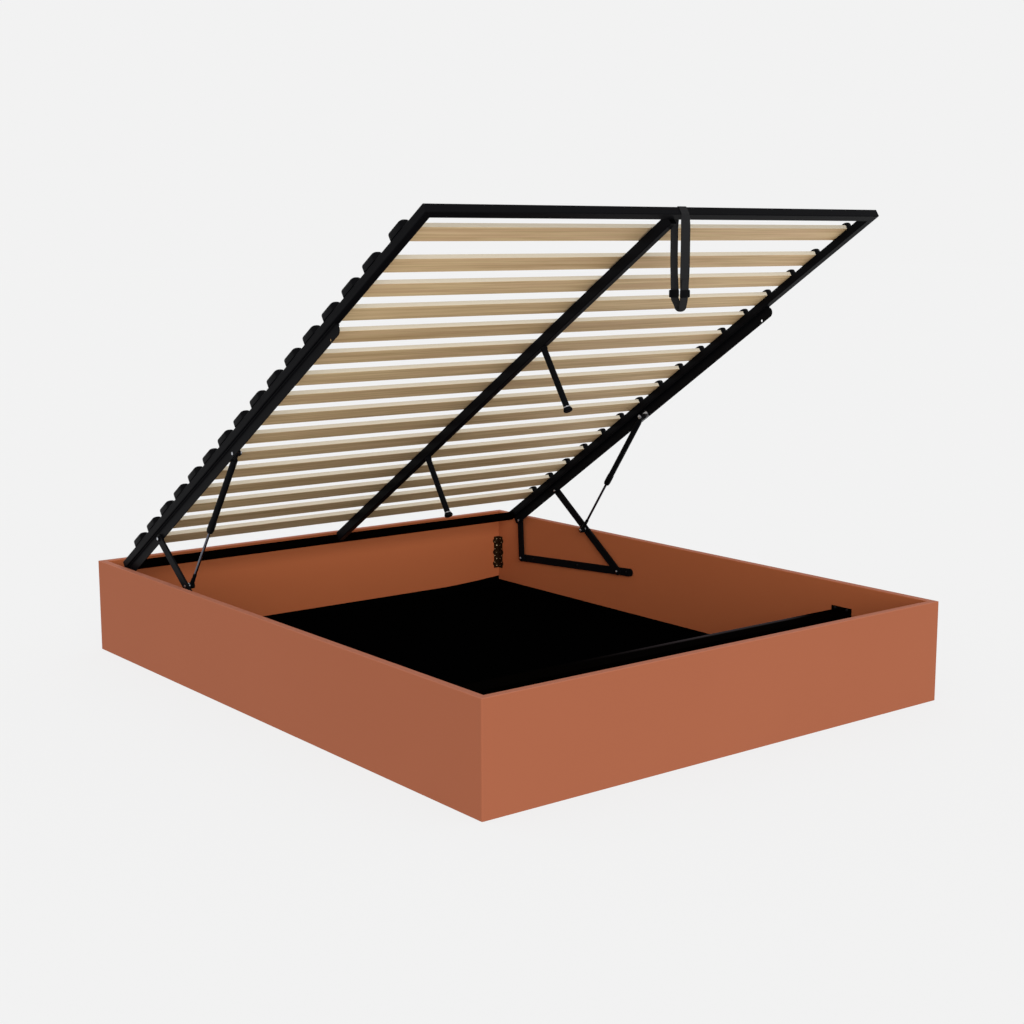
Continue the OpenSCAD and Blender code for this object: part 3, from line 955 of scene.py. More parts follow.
    @classmethod
    def woven(
        cls, name: str, columns: int, rows: int, lay: Callable[[int, int], tuple[Pair, Point]]
    ) -> tuple[Piece, list[Pair]]:
        """Lays a grid of cells, each crossing at its own place.

        Args:
            name: The piece's name.
            columns: Cells across.
            rows: Cells along.
            lay: Gives a crossing's place on the flat cut, and its point.

        Returns:
            The piece, with the cut as its UV in metres, and each vertex's place on the cut.
        """
        cls.clear()
        bpy.ops.mesh.primitive_grid_add(x_subdivisions=columns, y_subdivisions=rows, size=2)
        piece = cls.take(name)
        mesh = piece.data
        cut: list[Pair] = []
        for vertex in mesh.vertices:
            column, row = round((vertex.co.x + 1) / 2 * columns), round((vertex.co.y + 1) / 2 * rows)
            place, vertex.co = lay(column, row)
            cut.append(place)
        for loop in mesh.loops:
            mesh.uv_layers.active.data[loop.index].uv = cut[loop.vertex_index]
        return piece, cut

    @staticmethod
    def placed(model: Piece, name: str, place: Matrix) -> Piece:
        """Copies a model with its own mesh and sets the copy in its place.

        Args:
            model: The model at the origin.
            name: The copy's name.
            place: Where it goes.

        Returns:
            The copy.
        """
        mesh = model.data.copy()
        mesh.name = name
        mesh.transform(place)
        if place.determinant() < 0:
            mesh.flip_normals()
        copy = bpy.data.objects.new(name, mesh)
        bpy.context.scene.collection.objects.link(copy)
        return copy

    @classmethod
    def drop(cls, *models: Piece) -> None:
        """Throws models away once their copies are placed.

        Args:
            *models: The models.
        """
        cls.clear()
        for model in models:
            bpy.data.meshes.remove(model.data)

    @classmethod
    def join(cls, name: str, pieces: Sequence[Piece]) -> Piece:
        """Joins pieces into one.

        Args:
            name: The name of the whole.
            pieces: What is joined.

        Returns:
            The whole.
        """
        cls.clear()
        for piece in pieces:
            piece.select_set(True)
        bpy.context.view_layer.objects.active = pieces[0]
        bpy.ops.object.join()
        return cls.take(name)


def across_bed(side: Side, x: float, place: Pair, outward: bool = False) -> Matrix:
    """Sets a turned part on a side's pivot, its axis across the bed.

    Args:
        side: The side of the bed.
        x: How far from the middle its foot stands.
        place: The pivot in [y, z].
        outward: Whether its axis points away from the bed's middle.

    Returns:
        The part's place.
    """
    turn = Matrix.Rotation(-side.value * math.pi / 2, 4, "Y")
    if outward:
        turn = turn @ Matrix.Rotation(math.pi, 4, "X")
    return Matrix.Translation((side.value * x, *place)) @ turn


def both(name: str) -> tuple[str, str]:
    """The names of a node's left and right copies."""
    return f"{name}_left", f"{name}_right"


def dress(finish: Finish, *nodes: str) -> None:
    """Gives CAD nodes a finish.

    Args:
        finish: Their finish.
        *nodes: The nodes' names.
    """
    for name in nodes:
        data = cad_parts[name].data
        data.materials.clear()
        data.materials.append(finish.material())


def hand_in(piece: Piece, body: Body, finish: Finish) -> Piece:
    """Finishes a new piece and lets it ride on its body.

    Args:
        piece: The piece, with its place in its mesh.
        body: The CAD body that it moves with.
        finish: Its finish.

    Returns:
        The piece.
    """
    piece.data.materials.clear()
    piece.data.materials.append(finish.material())
    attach(piece, body.value)
    return piece


def fit(model: Piece, name: str, place: Matrix, body: Body, finish: Finish) -> Piece:
    """Copies a model into its place and hands the copy in."""
    return hand_in(Workbench.placed(model, name, place), body, finish)


def fit_once(model: Piece, name: str, place: Matrix, body: Body, finish: Finish) -> Piece:
    """Fits a model that is needed once, and throws the model away.

    Args:
        model: The model at the origin.
        name: The piece's name.
        place: Where it goes.
        body: The CAD body that it moves with.
        finish: Its finish.

    Returns:
        The piece.
    """
    piece = fit(model, name, place, body, finish)
    Workbench.drop(model)
    return piece


# ---------------------------------------------------------------- sub-assemblies


@dataclass
class SubAssembly:
    """Pieces that belong together on the real bed."""

    def build(self) -> list[Piece]:
        """Dresses the CAD nodes and models what they lack.

        Returns:
            The new pieces.
        """
        raise NotImplementedError


@dataclass
class PanelBox(SubAssembly):
    """The four lacquered panels."""

    def build(self) -> list[Piece]:
        """Lacquers the panels."""
        dress(LACQUER, *both("side_panel"), "head_panel", "foot_panel")
        return []


@dataclass
class FloorSheet(SubAssembly):
    """The floor cloth as one cut, laid on the ground and turned up against the panels."""

    half_width: float = 0.7475
    half_length: float = 0.9475
    height: float = 0.001
    hem: float = 0.026
    curl: float = 0.013
    curl_run: float = 0.26
    curl_power: float = 1.6
    thickness: float = 0.0008
    wave: float = 0.0003
    wave_turns: Pair = (7.1, 5.3)
    wave_start: float = 2.0
    ripple: float = 0.6
    ripple_turns: float = 17.0
    cells: tuple[int, int] = (64, 80)
    hem_rows: int = 3

    def _cut(self, half: float, count: int) -> list[float]:
        """Divides one side of the cut, the turned-up rows included.

        Args:
            half: Half the side without its hems.
            count: Its cells between the hems.

        Returns:
            The places of the rows.
        """
        flat = [-half + 2 * half * i / count for i in range(count + 1)]
        rows = [self.hem * (i + 1) / self.hem_rows for i in range(self.hem_rows)]
        return [-half - r for r in reversed(rows)] + flat + [half + r for r in rows]

    def _turned_up(self, u: float, v: float) -> Point:
        """Finds a point of the cut once the hem stands up.

        Args:
            u: Its place across the bed.
            v: Its place along the bed.

        Returns:
            The point in the row frame.
        """
        over_u = max(0.0, abs(u) - self.half_width)
        over_v = max(0.0, abs(v) - self.half_length)
        x = math.copysign(min(abs(u), self.half_width), u)
        y = math.copysign(min(abs(v), self.half_length), v)
        up = max(over_u, over_v)
        run = self.half_width - u if over_v > 0 and v > 0 else self.curl_run
        lift = max(0.0, 1 - run / self.curl_run) ** self.curl_power
        z = self.height + up * (1 + lift * self.curl / self.hem)
        if up == 0:
            across, along = self.wave_turns
            swell = math.sin(across * x + self.wave_start) * math.sin(along * y)
            z += self.wave * (swell + self.ripple * math.sin(self.ripple_turns * (x + y)))
        return (x, y, z)

    def _clear_corners(self, cloth: Piece, cut: list[Pair]) -> None:
        """Cuts the squares out of the corners, where two hems would meet.

        Args:
            cloth: The cloth.
            cut: Each vertex's place on the flat cut.
        """
        corner = [abs(u) > self.half_width and abs(v) > self.half_length for u, v in cut]
        Workbench.pick(cloth, "VERT", lambda vertex: corner[vertex.index])
        bpy.ops.mesh.delete(type="VERT")
        Workbench.turn_outward()

    def build(self) -> list[Piece]:
        """Lays the cloth and turns its hem up.

        Returns:
            The cloth.
        """
        across = self._cut(self.half_width, self.cells[0])
        along = self._cut(self.half_length, self.cells[1])
        cloth, cut = Workbench.woven(
            "floor_sheet",
            len(across) - 1,
            len(along) - 1,
            lambda i, j: ((across[i], along[j]), self._turned_up(across[i], along[j])),
        )
        self._clear_corners(cloth, cut)
        Workbench.modify(cloth, "SOLIDIFY", thickness=self.thickness, offset=0.0)
        Workbench.smooth(cloth, 50.0)
        hand_in(cloth, Body.BOX, CLOTH)
        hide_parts("floor_cloth", "floor_cloth_hem")
        return [cloth]


@dataclass
class CornerIronwork(SubAssembly):
    """Corner brackets, the screws in the panels, and the brackets' nails."""

    face: Point = (0.7455, 0.9455, 0.127)
    across: float = 0.0112
    zigzag: float = 0.0056
    count: int = 9
    pitch: float = 0.0122
    nail: Outline = ((0.0, 0.0019), (0.0005, 0.0019), (0.0010, 0.0014), (0.0012, 0.0004))
    sides: int = 16

    def _nails(self, name: str, end: int, side: Side) -> Piece:
        """Sets small brass nails in a zigzag on the two leaves of one bracket.

        Args:
            name: The piece's name.
            end: 1 at the head end, -1 at the foot end.
            side: The side of the bed.

        Returns:
            The nails as one piece.
        """
        model = Workbench.turned("nail", self.nail, self.sides)
        onto_end = Matrix.Rotation(end * math.pi / 2, 4, "X")
        onto_side = Matrix.Rotation(-side.value * math.pi / 2, 4, "Y")
        x, y, middle = self.face
        nails = []
        for i in range(self.count):
            z = middle + (i - (self.count - 1) / 2) * self.pitch
            swing = self.across + (self.zigzag if i % 2 else -self.zigzag / 2)
            for turn, back_x, back_y in ((onto_end, swing, 0.0), (onto_side, 0.0, swing)):
                place = Matrix.Translation((side.value * (x - back_x), end * (y - back_y), z)) @ turn
                nails.append(Workbench.placed(model, f"{name}_{len(nails)}", place))
        Workbench.drop(model)
        return hand_in(Workbench.join(name, nails), Body.BOX, BRASS)

    def build(self) -> list[Piece]:
        """Dresses brackets and screws, and nails the leaves.

        Returns:
            The nails of the four brackets.
        """
        dress(LEAF_COAT, "corner_brackets")
        dress(SCREWS, "panel_screws")
        return [
            self._nails(f"bracket_nails_{word}_{side.word}", end, side)
            for word, end in (("head", 1), ("foot", -1))
            for side in Side
        ]


@dataclass
class Crossbar(SubAssembly):
    """The bar across the box and the brackets that hold it."""

    def build(self) -> list[Piece]:
        """Dresses the bar and its brackets.

        Returns:
            No new pieces.
        """
        # The crossbar's coat has a painted highlight along its far top edge.
        dress(CROSSBAR_COAT, "crossbar")
        dress(DULL_COAT, "crossbar_brackets")
        return []


@dataclass
class TubeFrame(SubAssembly):
    """The welded frame of the slatted base."""

    rail_x: float = 0.7305
    rail_end: float = 1.886
    tube: Pair = (0.025, 0.022)
    plug: float = 0.0018
    plug_edge: float = 0.0008
    seam_x: float = 0.7356
    seam: Pair = (0.462, 1.880)
    seam_under: float = 0.0016
    bead: Pair = (0.0014, 0.0022)
    bead_start: float = 0.0010
    bead_sides: int = 12

    def _seam(self, side: Side) -> Piece:
        """Runs a weld bead between a rail and the lift profile under it.

        Args:
            side: The side of the bed.

        Returns:
            The bead.
        """
        start, stop = self.seam
        thin, thick = self.bead
        long, taper = stop - start, self.bead_start
        outline = ((0.0, thin), (taper, thick), (long - taper, thick), (long, thin))
        model = Workbench.turned("bead", outline, self.bead_sides)
        place = BASE.place(side.value * self.seam_x, start, self.tube[1] + self.seam_under, math.pi / 2)
        return fit_once(model, f"weld_bead_{side.word}", place, Body.BASE, COAT)

    def _plug(self, side: Side) -> Piece:
        """Closes the head end of a rail with a plastic cap.

        Args:
            side: The side of the bed.

        Returns:
            The cap.
        """
        model = Workbench.block("plug", (self.tube[0], self.plug, self.tube[1]), self.plug_edge)
        place = BASE.place(side.value * self.rail_x, self.rail_end + self.plug / 2, self.tube[1] / 2)
        return fit_once(model, f"rail_plug_{side.word}", place, Body.BASE, PLASTIC)

    def build(self) -> list[Piece]:
        """Dresses tubes, profiles and bolts, closes the rails and welds the profiles on.

        Returns:
            The caps and beads.
        """
        dress(COAT, *both("rail"), "foot_tube", "centre_beam", *both("lift_profile"), "frame_pivot_bolts")
        dress(DULL_COAT, "head_tube")
        dress(ZINC, *both("strut_bracket"))
        return [make(side) for side in Side for make in (self._plug, self._seam)]


@dataclass
class SlatDeck(SubAssembly):
    """The slats and the caps that hold them."""

    count: int = 16
    first_s: float = 0.122
    second_s: float = 0.252
    step_s: float = 0.107214
    slat: Point = (0.7352, 0.0292, 0.0126)
    half_width: float = 0.0335
    reach: Pair = (0.7160, 0.7445)
    height: float = 0.0200
    corner: float = 0.012
    corner_steps: int = 6
    shoulder: float = 0.0060
    shoulder_steps: int = 4
    beyond: float = 0.02
    edge: float = 0.0006
    hair: float = 0.0001

    def _upright(self, piece: Piece, edge: bpy.types.MeshEdge) -> bool:
        """Tells whether an edge of a piece leads from one height to another."""
        first, second = (piece.data.vertices[end].co.z for end in edge.vertices)
        return abs(first - second) > self.hair

    def _holder(self) -> Piece:
        """Moulds the right-hand holder round the slat's end, its mouth toward the bed's middle.

        Returns:
            The holder, its foot on the plane z = 0 and its middle line on y = 0.
        """
        inner, outer = self.reach
        size = (outer - inner, 2 * self.half_width, self.height)
        holder = Workbench.cuboid("holder", size, ((inner + outer) / 2, 0, self.height / 2))
        Workbench.pick(holder, "EDGE", lambda edge: self._upright(holder, edge))
        bpy.ops.mesh.bevel(offset=self.corner, segments=self.corner_steps, affect="EDGES")
        Workbench.pick(holder, "FACE", lambda face: face.center.z > self.height - self.hair)
        bpy.ops.mesh.bevel(offset=self.shoulder, segments=self.shoulder_steps, affect="EDGES")
        reach, half, thickness = self.slat
        depth = reach - inner + self.beyond
        slot = Workbench.cuboid(
            "slot",
            (depth, 2 * half, thickness + self.beyond),
            (reach - depth / 2, 0, (thickness - self.beyond) / 2),
        )
        Workbench.modify(holder, "BOOLEAN", object=slot, operation="DIFFERENCE", solver="EXACT")
        Workbench.drop(slot)
        Workbench.modify(holder, "BEVEL", width=self.edge, segments=1, angle_limit=math.radians(50))
        Workbench.smooth(holder, 40.0)
        return holder

    def build(self) -> list[Piece]:
        """Dresses the slats and clips the holders onto the rails.

        Returns:
            The two rows of holders.
        """
        dress(BEECH, *(f"slat_{i + 1:02d}" for i in range(self.count)))
        model = self._holder()
        middles = [self.first_s] + [self.second_s + self.step_s * i for i in range(self.count - 1)]
        made = []
        for side in Side:
            mirror = Matrix.Diagonal((side.value, 1, 1, 1))
            row = [
                Workbench.placed(model, f"holder_{side.word}_{i + 1:02d}", BASE.place(0.0, s, 0.0) @ mirror)
                for i, s in enumerate(middles)
            ]
            whole = Workbench.join(f"holders_{side.word}", row)
            hand_in(whole, Body.BASE, PLASTIC)
            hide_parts(f"slat_holders_{side.name.lower()}")
            made.append(whole)
        Workbench.drop(model)
        return made


@dataclass
class MiddleLegs(SubAssembly):
    """The two legs under the centre beam."""

    places: tuple[tuple[str, float], ...] = (("front", 0.621), ("rear", 1.273))
    ring_n: float = 0.2166
    ring: Outline = ((0.0, 0.0086), (0.0002, 0.0098), (0.0008, 0.0101), (0.0024, 0.0097))

    def _ring(self, name: str, s: float) -> Piece:
        """Turns the bright ring that holds a leg's foot.

        Args:
            name: The leg's name.
            s: Its place along the base.

        Returns:
            The ring.
        """
        model = Workbench.turned("ring", self.ring)
        place = BASE.place(0.0, s, self.ring_n)
        return fit_once(model, f"leg_ring_{name}", place, Body.BASE, ZINC)

    def build(self) -> list[Piece]:
        """Dresses legs, feet and nuts, and adds the feet's rings.

        Returns:
            The rings.
        """
        dress(COAT, "support_leg_front", "support_leg_rear", "leg_nuts")
        dress(PLASTIC, "leg_glide_front", "leg_glide_rear")
        return [self._ring(name, s) for name, s in self.places]


@dataclass
class Linkage(SubAssembly):
    """Ground bars, arms and links with their bolts."""

    dome: Outline = ((0.0, 0.0042), (0.0004, 0.0042), (0.0012, 0.0034), (0.0017, 0.0020), (0.0019, 0.0006))

    def build(self) -> list[Piece]:
        """Dresses bars and bolts, and rivets bright domes into the black bolt heads.

        Returns:
            The domes.
        """
        dress(COAT, *both("ground_bar"), *both("front_arm"), *both("rear_link"), "ground_pivot_bolts")
        dress(ZINC, *both("strut_stud"))
        model = Workbench.turned("dome", self.dome)
        made = []
        for side in Side:
            for name, body, place in (
                ("arm", Body.BOX, across_bed(side, PIVOTS.ground_head, PIVOTS.arm)),
                ("link", Body.BOX, across_bed(side, PIVOTS.ground_head, PIVOTS.link)),
                ("arm_pin", Body.BASE, across_bed(side, PIVOTS.frame_head, PIVOTS.arm_pin)),
                ("link_pin", Body.BASE, across_bed(side, PIVOTS.frame_head, PIVOTS.link_pin)),
                ("arm_pin_outer", Body.BASE, across_bed(side, PIVOTS.arm_pin_end, PIVOTS.arm_pin, True)),
            ):
                made.append(fit(model, f"rivet_{name}_{side.word}", place, body, ZINC))
        Workbench.drop(model)
        return made


@dataclass
class GasStruts(SubAssembly):
    """The two gas struts."""

    sleeve_start: float = 0.252
    sleeve: Outline = (
        (0.0, 0.0092),
        (0.0008, 0.0093),
        (0.0022, 0.0103),
        (0.0300, 0.0103),
        (0.0330, 0.0087),
        (0.0350, 0.0057),
        (0.0360, 0.0052),
        (0.0375, 0.0050),
    )
    clip_start: float = 0.474809
    clip: Outline = ((0.0, 0.0045), (0.0003, 0.0056), (0.0016, 0.0059), (0.0022, 0.0046))
    boot_start: float = 0.449309
    boot: Outline = ((0.0, 0.0042), (0.0012, 0.0047), (0.0040, 0.0052), (0.0225, 0.0052), (0.0245, 0.0046))
    nut: Outline = ((0.0, 0.0048), (0.0018, 0.0048), (0.0026, 0.0036), (0.0028, 0.0010))
    nut_sides: int = 6
    stud_end: float = 0.7141
    pin_end: float = 0.7102
    web_face: float = 0.7340

    def _along(self, side: Side, way: float) -> Matrix:
        """Finds a place on a strut's axis, with the z axis toward the stud.

        Args:
            side: The side of the bed.
            way: How far it is from the upper pin.

        Returns:
            The place.
        """
        x = side.value * PIVOTS.strut_x
        start = Vector((x, *PIVOTS.strut_pin))
        ahead = (Vector((x, *PIVOTS.stud)) - start).normalized()
        return Matrix.Translation(start + ahead * way) @ ahead.to_track_quat("Z", "Y").to_matrix().to_4x4()

    def build(self) -> list[Piece]:
        """Dresses the struts and adds their sleeves, boots, clips and nuts.

        Returns:
            The new pieces.
        """
        dress(COAT, *both("strut_cylinder"))
        dress(ROD, *both("strut_rod"))
        dress(PLASTIC, *both("strut_rod_end"))
        sleeve = Workbench.turned("sleeve", self.sleeve)
        clip = Workbench.turned("clip", self.clip)
        boot = Workbench.turned("boot", self.boot)
        nut = Workbench.turned("nut", self.nut, self.nut_sides)
        made = []
        for side in Side:
            cylinder, rod = Body[f"CYLINDER_{side.name}"], Body[f"ROD_{side.name}"]
            guard = self._along(side, self.sleeve_start)
            stud = across_bed(side, self.stud_end, PIVOTS.stud)
            pin = across_bed(side, self.pin_end, PIVOTS.strut_pin)
            head = across_bed(side, self.web_face, PIVOTS.strut_pin, True)
            for model, name, place, body, slot, finish in (
                (sleeve, "strut_sleeve", guard, cylinder, Slot.PLASTIC, PLASTIC),
                (clip, "rod_ring", self._along(side, self.clip_start), rod, Slot.ZINC, ZINC),
                (boot, "rod_boot", self._along(side, self.boot_start), rod, Slot.PLASTIC, PLASTIC),
                (nut, "stud_nut", stud, rod, Slot.ZINC, ZINC),
                (nut, "strut_pin_nut", pin, Body.BASE, Slot.ZINC, ZINC),
                (nut, "strut_pin_head", head, Body.BASE, Slot.ZINC, ZINC),
            ):
                made.append(fit(model, f"{name}_{side.word}", place, body, finish))
        Workbench.drop(sleeve, clip, boot, nut)
        return made


@dataclass
class PullStrap(SubAssembly):
    """The webbing loop over the foot tube, its tail, and a slider on each leg.

    A line of webbing is a list of points (y, z, twist). Shares run from 0 to 1 down a leg or its end.
    """

    x: float = 0.024
    width: float = 0.026
    thickness: float = 0.0018
    tube_edge: float = 0.0025
    clear: float = 0.0001
    corners: Outline = ((0.0025, 0.0195), (0.0025, 0.0025), (0.0225, 0.0025))
    corner_steps: tuple[int, int, int] = (3, 7, 5)
    leg_steps: int = 30
    bulge: Pair = (0.0022, 0.0042)
    bulge_rise: Pair = (0.2, 0.7)
    bulge_fall: Pair = (0.55, 1.6)
    twist: Pair = (-0.24, 0.06)
    twist_rise: float = 0.12
    twist_fall: float = 0.2
    slider_low: float = 1.0962
    slider: Point = (0.0312, 0.0070, 0.0191)
    slider_edge: float = 0.0032
    slider_edge_steps: int = 4
    slider_mouth: Pair = (0.0006, 0.0009)
    slider_shift: float = 0.0023
    slider_front: float = 0.0006
    end_low: float = 1.0625
    end_radius: float = 0.0080
    end_steps: int = 8
    end_sweep: float = 0.72
    round_steps: int = 12
    lean: float = -0.0045
    rounding: float = 0.0048
    narrowing: float = 0.12
    columns: int = 8
    weld: float = 0.00005
    soft_edge: float = 0.3
    tail: Pair = (0.004, 0.043)
    tail_steps: int = 12
    tail_off: Pair = (0.0016, 0.0035)
    tail_lift: Pair = (0.45, 1.5)
    tail_twist: float = 0.1
    tail_x: float = 0.0012
    tail_thickness: float = 0.8

    @property
    def _reach(self) -> float:
        """How far the webbing's middle lies from the centre of the tube's rounding."""
        return self.tube_edge + self.thickness / 2 + self.clear

    def _over_tube(self) -> list[Point]:
        """Leads the webbing over the tube.

        Returns:
            Its middle line, front leg first.
        """
        face, top = math.pi - BASE.tilt, math.pi / 2 - BASE.tilt
        line = []
        for place, start, stop, steps in zip(
            self.corners, (math.pi, face, top), (face, top, 0.0), self.corner_steps
        ):
            middle = BASE.at(0.0, *place)
            for i in range(steps + 1):
                angle = start + (stop - start) * i / steps
                y, z = middle.y + self._reach * math.cos(angle), middle.z + self._reach * math.sin(angle)
                line.append((y, z, 0.0))
        return line

    def _leg(self, y: float, top: float, bulge: float, twist: float) -> list[Point]:
        """Hangs a leg from the tube down to its slider, with the webbing's own stiffness.

        Args:
            y: Where it hangs.
            top: The height at which it leaves the tube.
            bulge: How far it stands off, negative toward the foot end.
            twist: How far it turns about its own length.

        Returns:
            Its middle line, from the top down.
        """
        low = self.slider_low + self.slider[2]
        rise, power = self.bulge_rise
        bend, fall = self.bulge_fall
        line = []
        for i in range(1, self.leg_steps + 1):
            t = i / self.leg_steps
            off = min(1.0, t / rise) ** power * (1 - max(0.0, (t - bend) / (1 - bend)) ** fall)
            turned = twist * min(1.0, t / self.twist_rise) * min(1.0, (1 - t) / self.twist_fall)
            line.append((y + bulge * off, top + (low - top) * t, turned))
        return line

    def _end(self, front: float, rear: float) -> list[Point]:
        """Brings the legs together in a round end under the sliders.

        Args:
            front: Where the front leg hangs, along y.
            rear: Where the rear leg hangs.

        Returns:
            The end's middle line, from the front leg to the rear one.
        """
        middle, radius = (front + rear) / 2 + self.lean, self.end_radius
        high, low = self.slider_low, self.end_low + self.end_radius
        shares = [i / self.end_steps for i in range(self.end_steps + 1)]
        eases = [t**2 * (3 - 2 * t) * self.end_sweep + t * (1 - self.end_sweep) for t in shares]
        down, up = (
            [(y + (goal - y) * ease, high + (low - high) * t, 0.0) for t, ease in zip(shares, eases)]
            for y, goal in ((front, middle - radius), (rear, middle + radius))
        )
        angles = [math.pi * (1 + i / self.round_steps) for i in range(1, self.round_steps)]
        bow = [(middle + radius * math.cos(angle), low + radius * math.sin(angle), 0.0) for angle in angles]
        return down + bow + up[::-1]

    def _tail(self, front: float) -> list[Point]:
        """Lets the loose end stand up from the front slider.

        Args:
            front: Where the front leg hangs, along y.

        Returns:
            Its middle line, from the bottom up.
        """
        low, high = (self.slider_low + part for part in self.tail)
        near, far = self.tail_off
        bend, power = self.tail_lift
        line = []
        for i in range(self.tail_steps + 1):
            t = i / self.tail_steps
            away = near + far * max(0.0, t - bend) ** power
            line.append((front - away, low + (high - low) * t, self.tail_twist * t))
        return line

    def _webbing(self, name: str, line: list[Point], x: float, thickness: float) -> Piece:
        """Weaves webbing along a line, closes its seam and rounds its edges.

        Args:
            name: The piece's name.
            line: Its middle line.
            x: Its middle across the bed.
            thickness: Its thickness.

        Returns:
            The webbing, with its width and length as its UV in metres.
        """
        way = [0.0]
        for first, second in zip(line, line[1:]):
            way.append(way[-1] + math.hypot(second[0] - first[0], second[1] - first[1]))

        def lay(column: int, row: int) -> tuple[Pair, Point]:
            """Finds one crossing: its place on the cut, and its point.

            Args:
                column: Its number across.
                row: Its number along.

            Returns:
                The place and the point.
            """
            across = (column / self.columns - 0.5) * self.width
            y, z, twist = line[row]
            low = max(0.0, self.slider_low - z) / (self.slider_low - self.end_low)
            lift = self.rounding * low**3 * (2 * abs(across) / self.width) ** 4
            near = across * (1 - self.narrowing * low**2)
            point = (x + near * math.cos(twist), y + near * math.sin(twist), z + lift)
            return (across + self.width / 2, way[row]), point

        webbing, _ = Workbench.woven(name, self.columns, len(line) - 1, lay)
        Workbench.edit(webbing, "SELECT")
        bpy.ops.mesh.remove_doubles(threshold=self.weld)
        Workbench.turn_outward()
        Workbench.modify(webbing, "SOLIDIFY", thickness=thickness, offset=0.0)
        edge = thickness * self.soft_edge
        Workbench.modify(webbing, "BEVEL", width=edge, segments=2, angle_limit=math.radians(60))
        Workbench.smooth(webbing, 40.0)
        return hand_in(webbing, Body.BASE, WEBBING)

    def _slider(self, name: str, x: float, y: float) -> Piece:
        """Moulds a slider: a rounded block with a slot that the webbing fills.

        Args:
            name: The piece's name.
            x: Its middle across the bed.
            y: Its middle along the bed.

        Returns:
            The slider.
        """
        block = Workbench.block("slider", self.slider, self.slider_edge, self.slider_edge_steps)
        Workbench.pick(block, "FACE", lambda face: abs(face.normal.z) > 0.99)
        lip, depth = self.slider_mouth
        bpy.ops.mesh.inset(thickness=lip, depth=-depth)
        bpy.ops.object.mode_set(mode="OBJECT")
        place = Matrix.Translation((x, y, self.slider_low + self.slider[2] / 2))
        return fit_once(block, name, place, Body.BASE, PLASTIC)

    def build(self) -> list[Piece]:
        """Hangs the loop over the tube, with its tail and sliders.

        Returns:
            The new pieces.
        """
        over = self._over_tube()
        front, rear = over[0][0], over[-1][0]
        front_leg = self._leg(front, over[0][1], -self.bulge[0], self.twist[0])
        rear_leg = self._leg(rear, over[-1][1], self.bulge[1], self.twist[1])
        line = [*over, *rear_leg, *reversed(self._end(front, rear)), *reversed(front_leg), over[0]]
        loop = self._webbing("webbing_loop", line, self.x, self.thickness)
        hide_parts("pull_strap")
        thin = self.thickness * self.tail_thickness
        tail = self._webbing("webbing_tail", self._tail(front), self.x + self.tail_x, thin)
        sliders = [
            self._slider("slider_front", self.x + self.slider_shift, front - self.slider_front),
            self._slider("slider_rear", self.x - self.slider_shift, rear),
        ]
        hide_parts("strap_sliders")
        return [loop, tail, *sliders]


# ---------------------------------------------------------------- studio


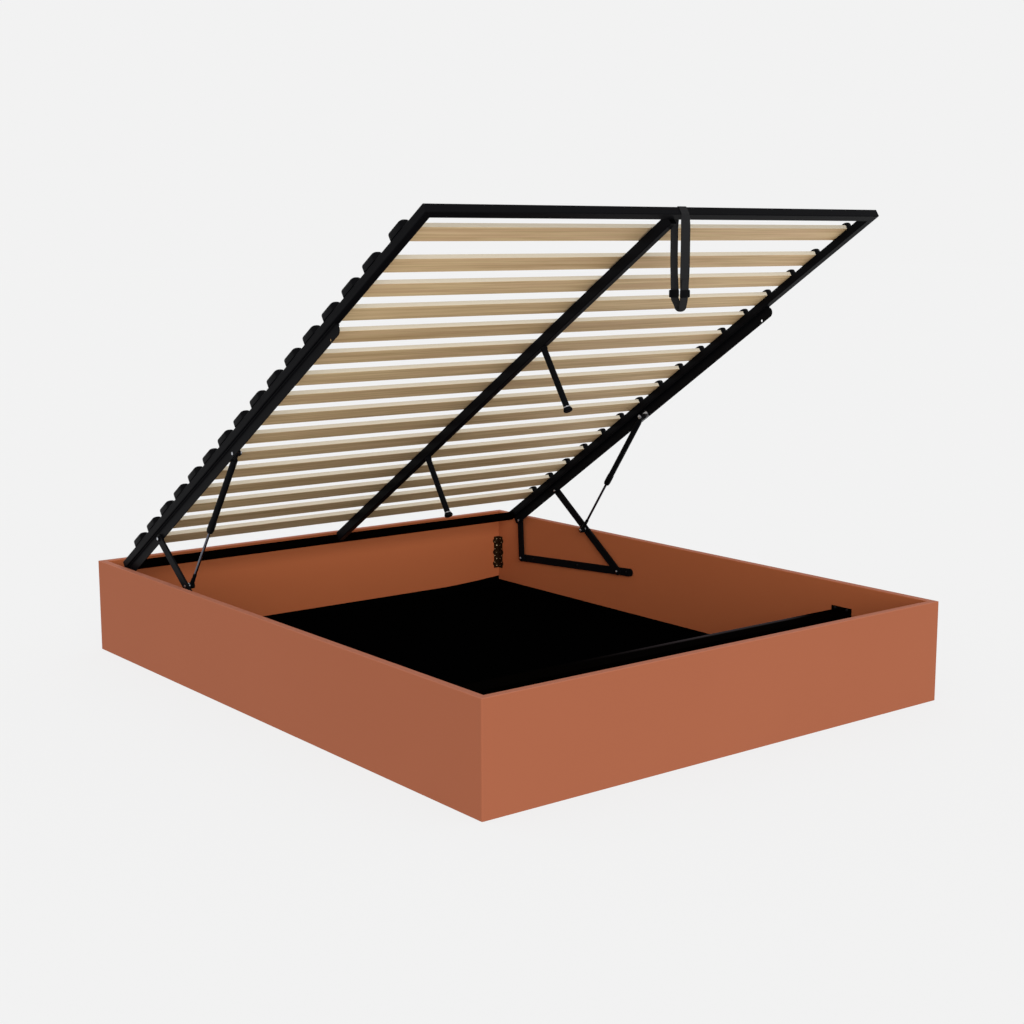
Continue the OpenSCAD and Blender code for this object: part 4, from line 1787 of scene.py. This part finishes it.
@dataclass
class Studio:
    """Camera, pale floor and soft light, as for the photograph."""

    focal_px: float = 1650.84
    image_px: float = 1024.0
    sensor_mm: float = 36.0
    clip: Pair = (0.1, 100.0)
    place: Point = (-2.8076, -3.6882, 1.2404)
    yaw: float = math.radians(37.9545)
    pitch: float = math.radians(9.4206)
    roll: float = math.radians(-0.070)
    background: float = 0.888
    floor_size: float = 120.0
    floor_glow: float = 0.80
    floor_albedo: float = 0.085
    sun_strength: float = 1.9
    sun_angle: float = math.radians(35.0)
    sun_from: Point = (-0.43, -0.86, 0.26)

    def camera(self) -> None:
        """Puts the camera where the photograph was taken."""
        data = bpy.data.cameras.new("camera")
        data.sensor_width = self.sensor_mm
        data.lens = self.focal_px / self.image_px * self.sensor_mm
        data.clip_start, data.clip_end = self.clip
        camera = bpy.data.objects.new("camera", data)
        bpy.context.scene.collection.objects.link(camera)
        level, dip = math.cos(self.pitch), math.sin(self.pitch)
        ahead = Vector((math.sin(self.yaw) * level, math.cos(self.yaw) * level, -dip))
        right = Vector((math.cos(self.yaw), -math.sin(self.yaw), 0.0))
        up = right.cross(ahead)
        turned_right = right * math.cos(self.roll) + up * math.sin(self.roll)
        turned_up = up * math.cos(self.roll) - right * math.sin(self.roll)
        turn = Matrix((turned_right, turned_up, -ahead)).transposed().to_4x4()
        camera.matrix_world = Matrix.Translation(self.place) @ turn
        bpy.context.scene.camera = camera

    def floor(self) -> None:
        """Lays the pale studio floor."""
        Workbench.clear()
        bpy.ops.mesh.primitive_plane_add(size=self.floor_size)
        floor = Workbench.take("studio_floor")
        shader = Shader("studio floor")
        shader.set(
            Base_Color=(self.floor_albedo,) * 3,
            Roughness=1.0,
            Specular_IOR_Level=0.0,
            Emission_Color=(1.0, 1.0, 1.0),
            Emission_Strength=self.floor_glow,
        )
        floor.data.materials.append(shader.material)

    def light(self) -> None:
        """Sets the sky, the soft sun and the colour transform."""
        scene = bpy.context.scene
        scene.view_settings.view_transform = "Standard"
        scene.view_settings.look = "None"
        world = bpy.data.worlds.new("studio sky")
        scene.world = world
        world.use_nodes = True
        sky = world.node_tree.nodes["Background"]
        sky.inputs["Color"].default_value = (1.0, 1.0, 1.0, 1.0)
        sky.inputs["Strength"].default_value = self.background
        data = bpy.data.lights.new("soft sun", "SUN")
        data.energy = self.sun_strength
        data.angle = self.sun_angle
        sun = bpy.data.objects.new("soft sun", data)
        scene.collection.objects.link(sun)
        sun.rotation_euler = Vector(self.sun_from).to_track_quat("Z", "Y").to_euler()

    def build(self) -> None:
        """Sets up the whole studio."""
        self.camera()
        self.floor()
        self.light()


def main() -> None:
    """Builds the studio and each sub-assembly in order, and reports the pieces."""
    logging.basicConfig(level=logging.INFO, format="%(name)s: %(message)s")
    Studio().build()
    assemblies: tuple[SubAssembly, ...] = (
        PanelBox(),
        FloorSheet(),
        CornerIronwork(),
        Crossbar(),
        TubeFrame(),
        SlatDeck(),
        MiddleLegs(),
        Linkage(),
        GasStruts(),
        PullStrap(),
    )
    for assembly in assemblies:
        names = ", ".join(piece.name for piece in assembly.build())
        LOG.info("%s: %s", type(assembly).__name__, names or "CAD nodes only")
    Workbench.clear()


if __name__ == "__main__":
    main()
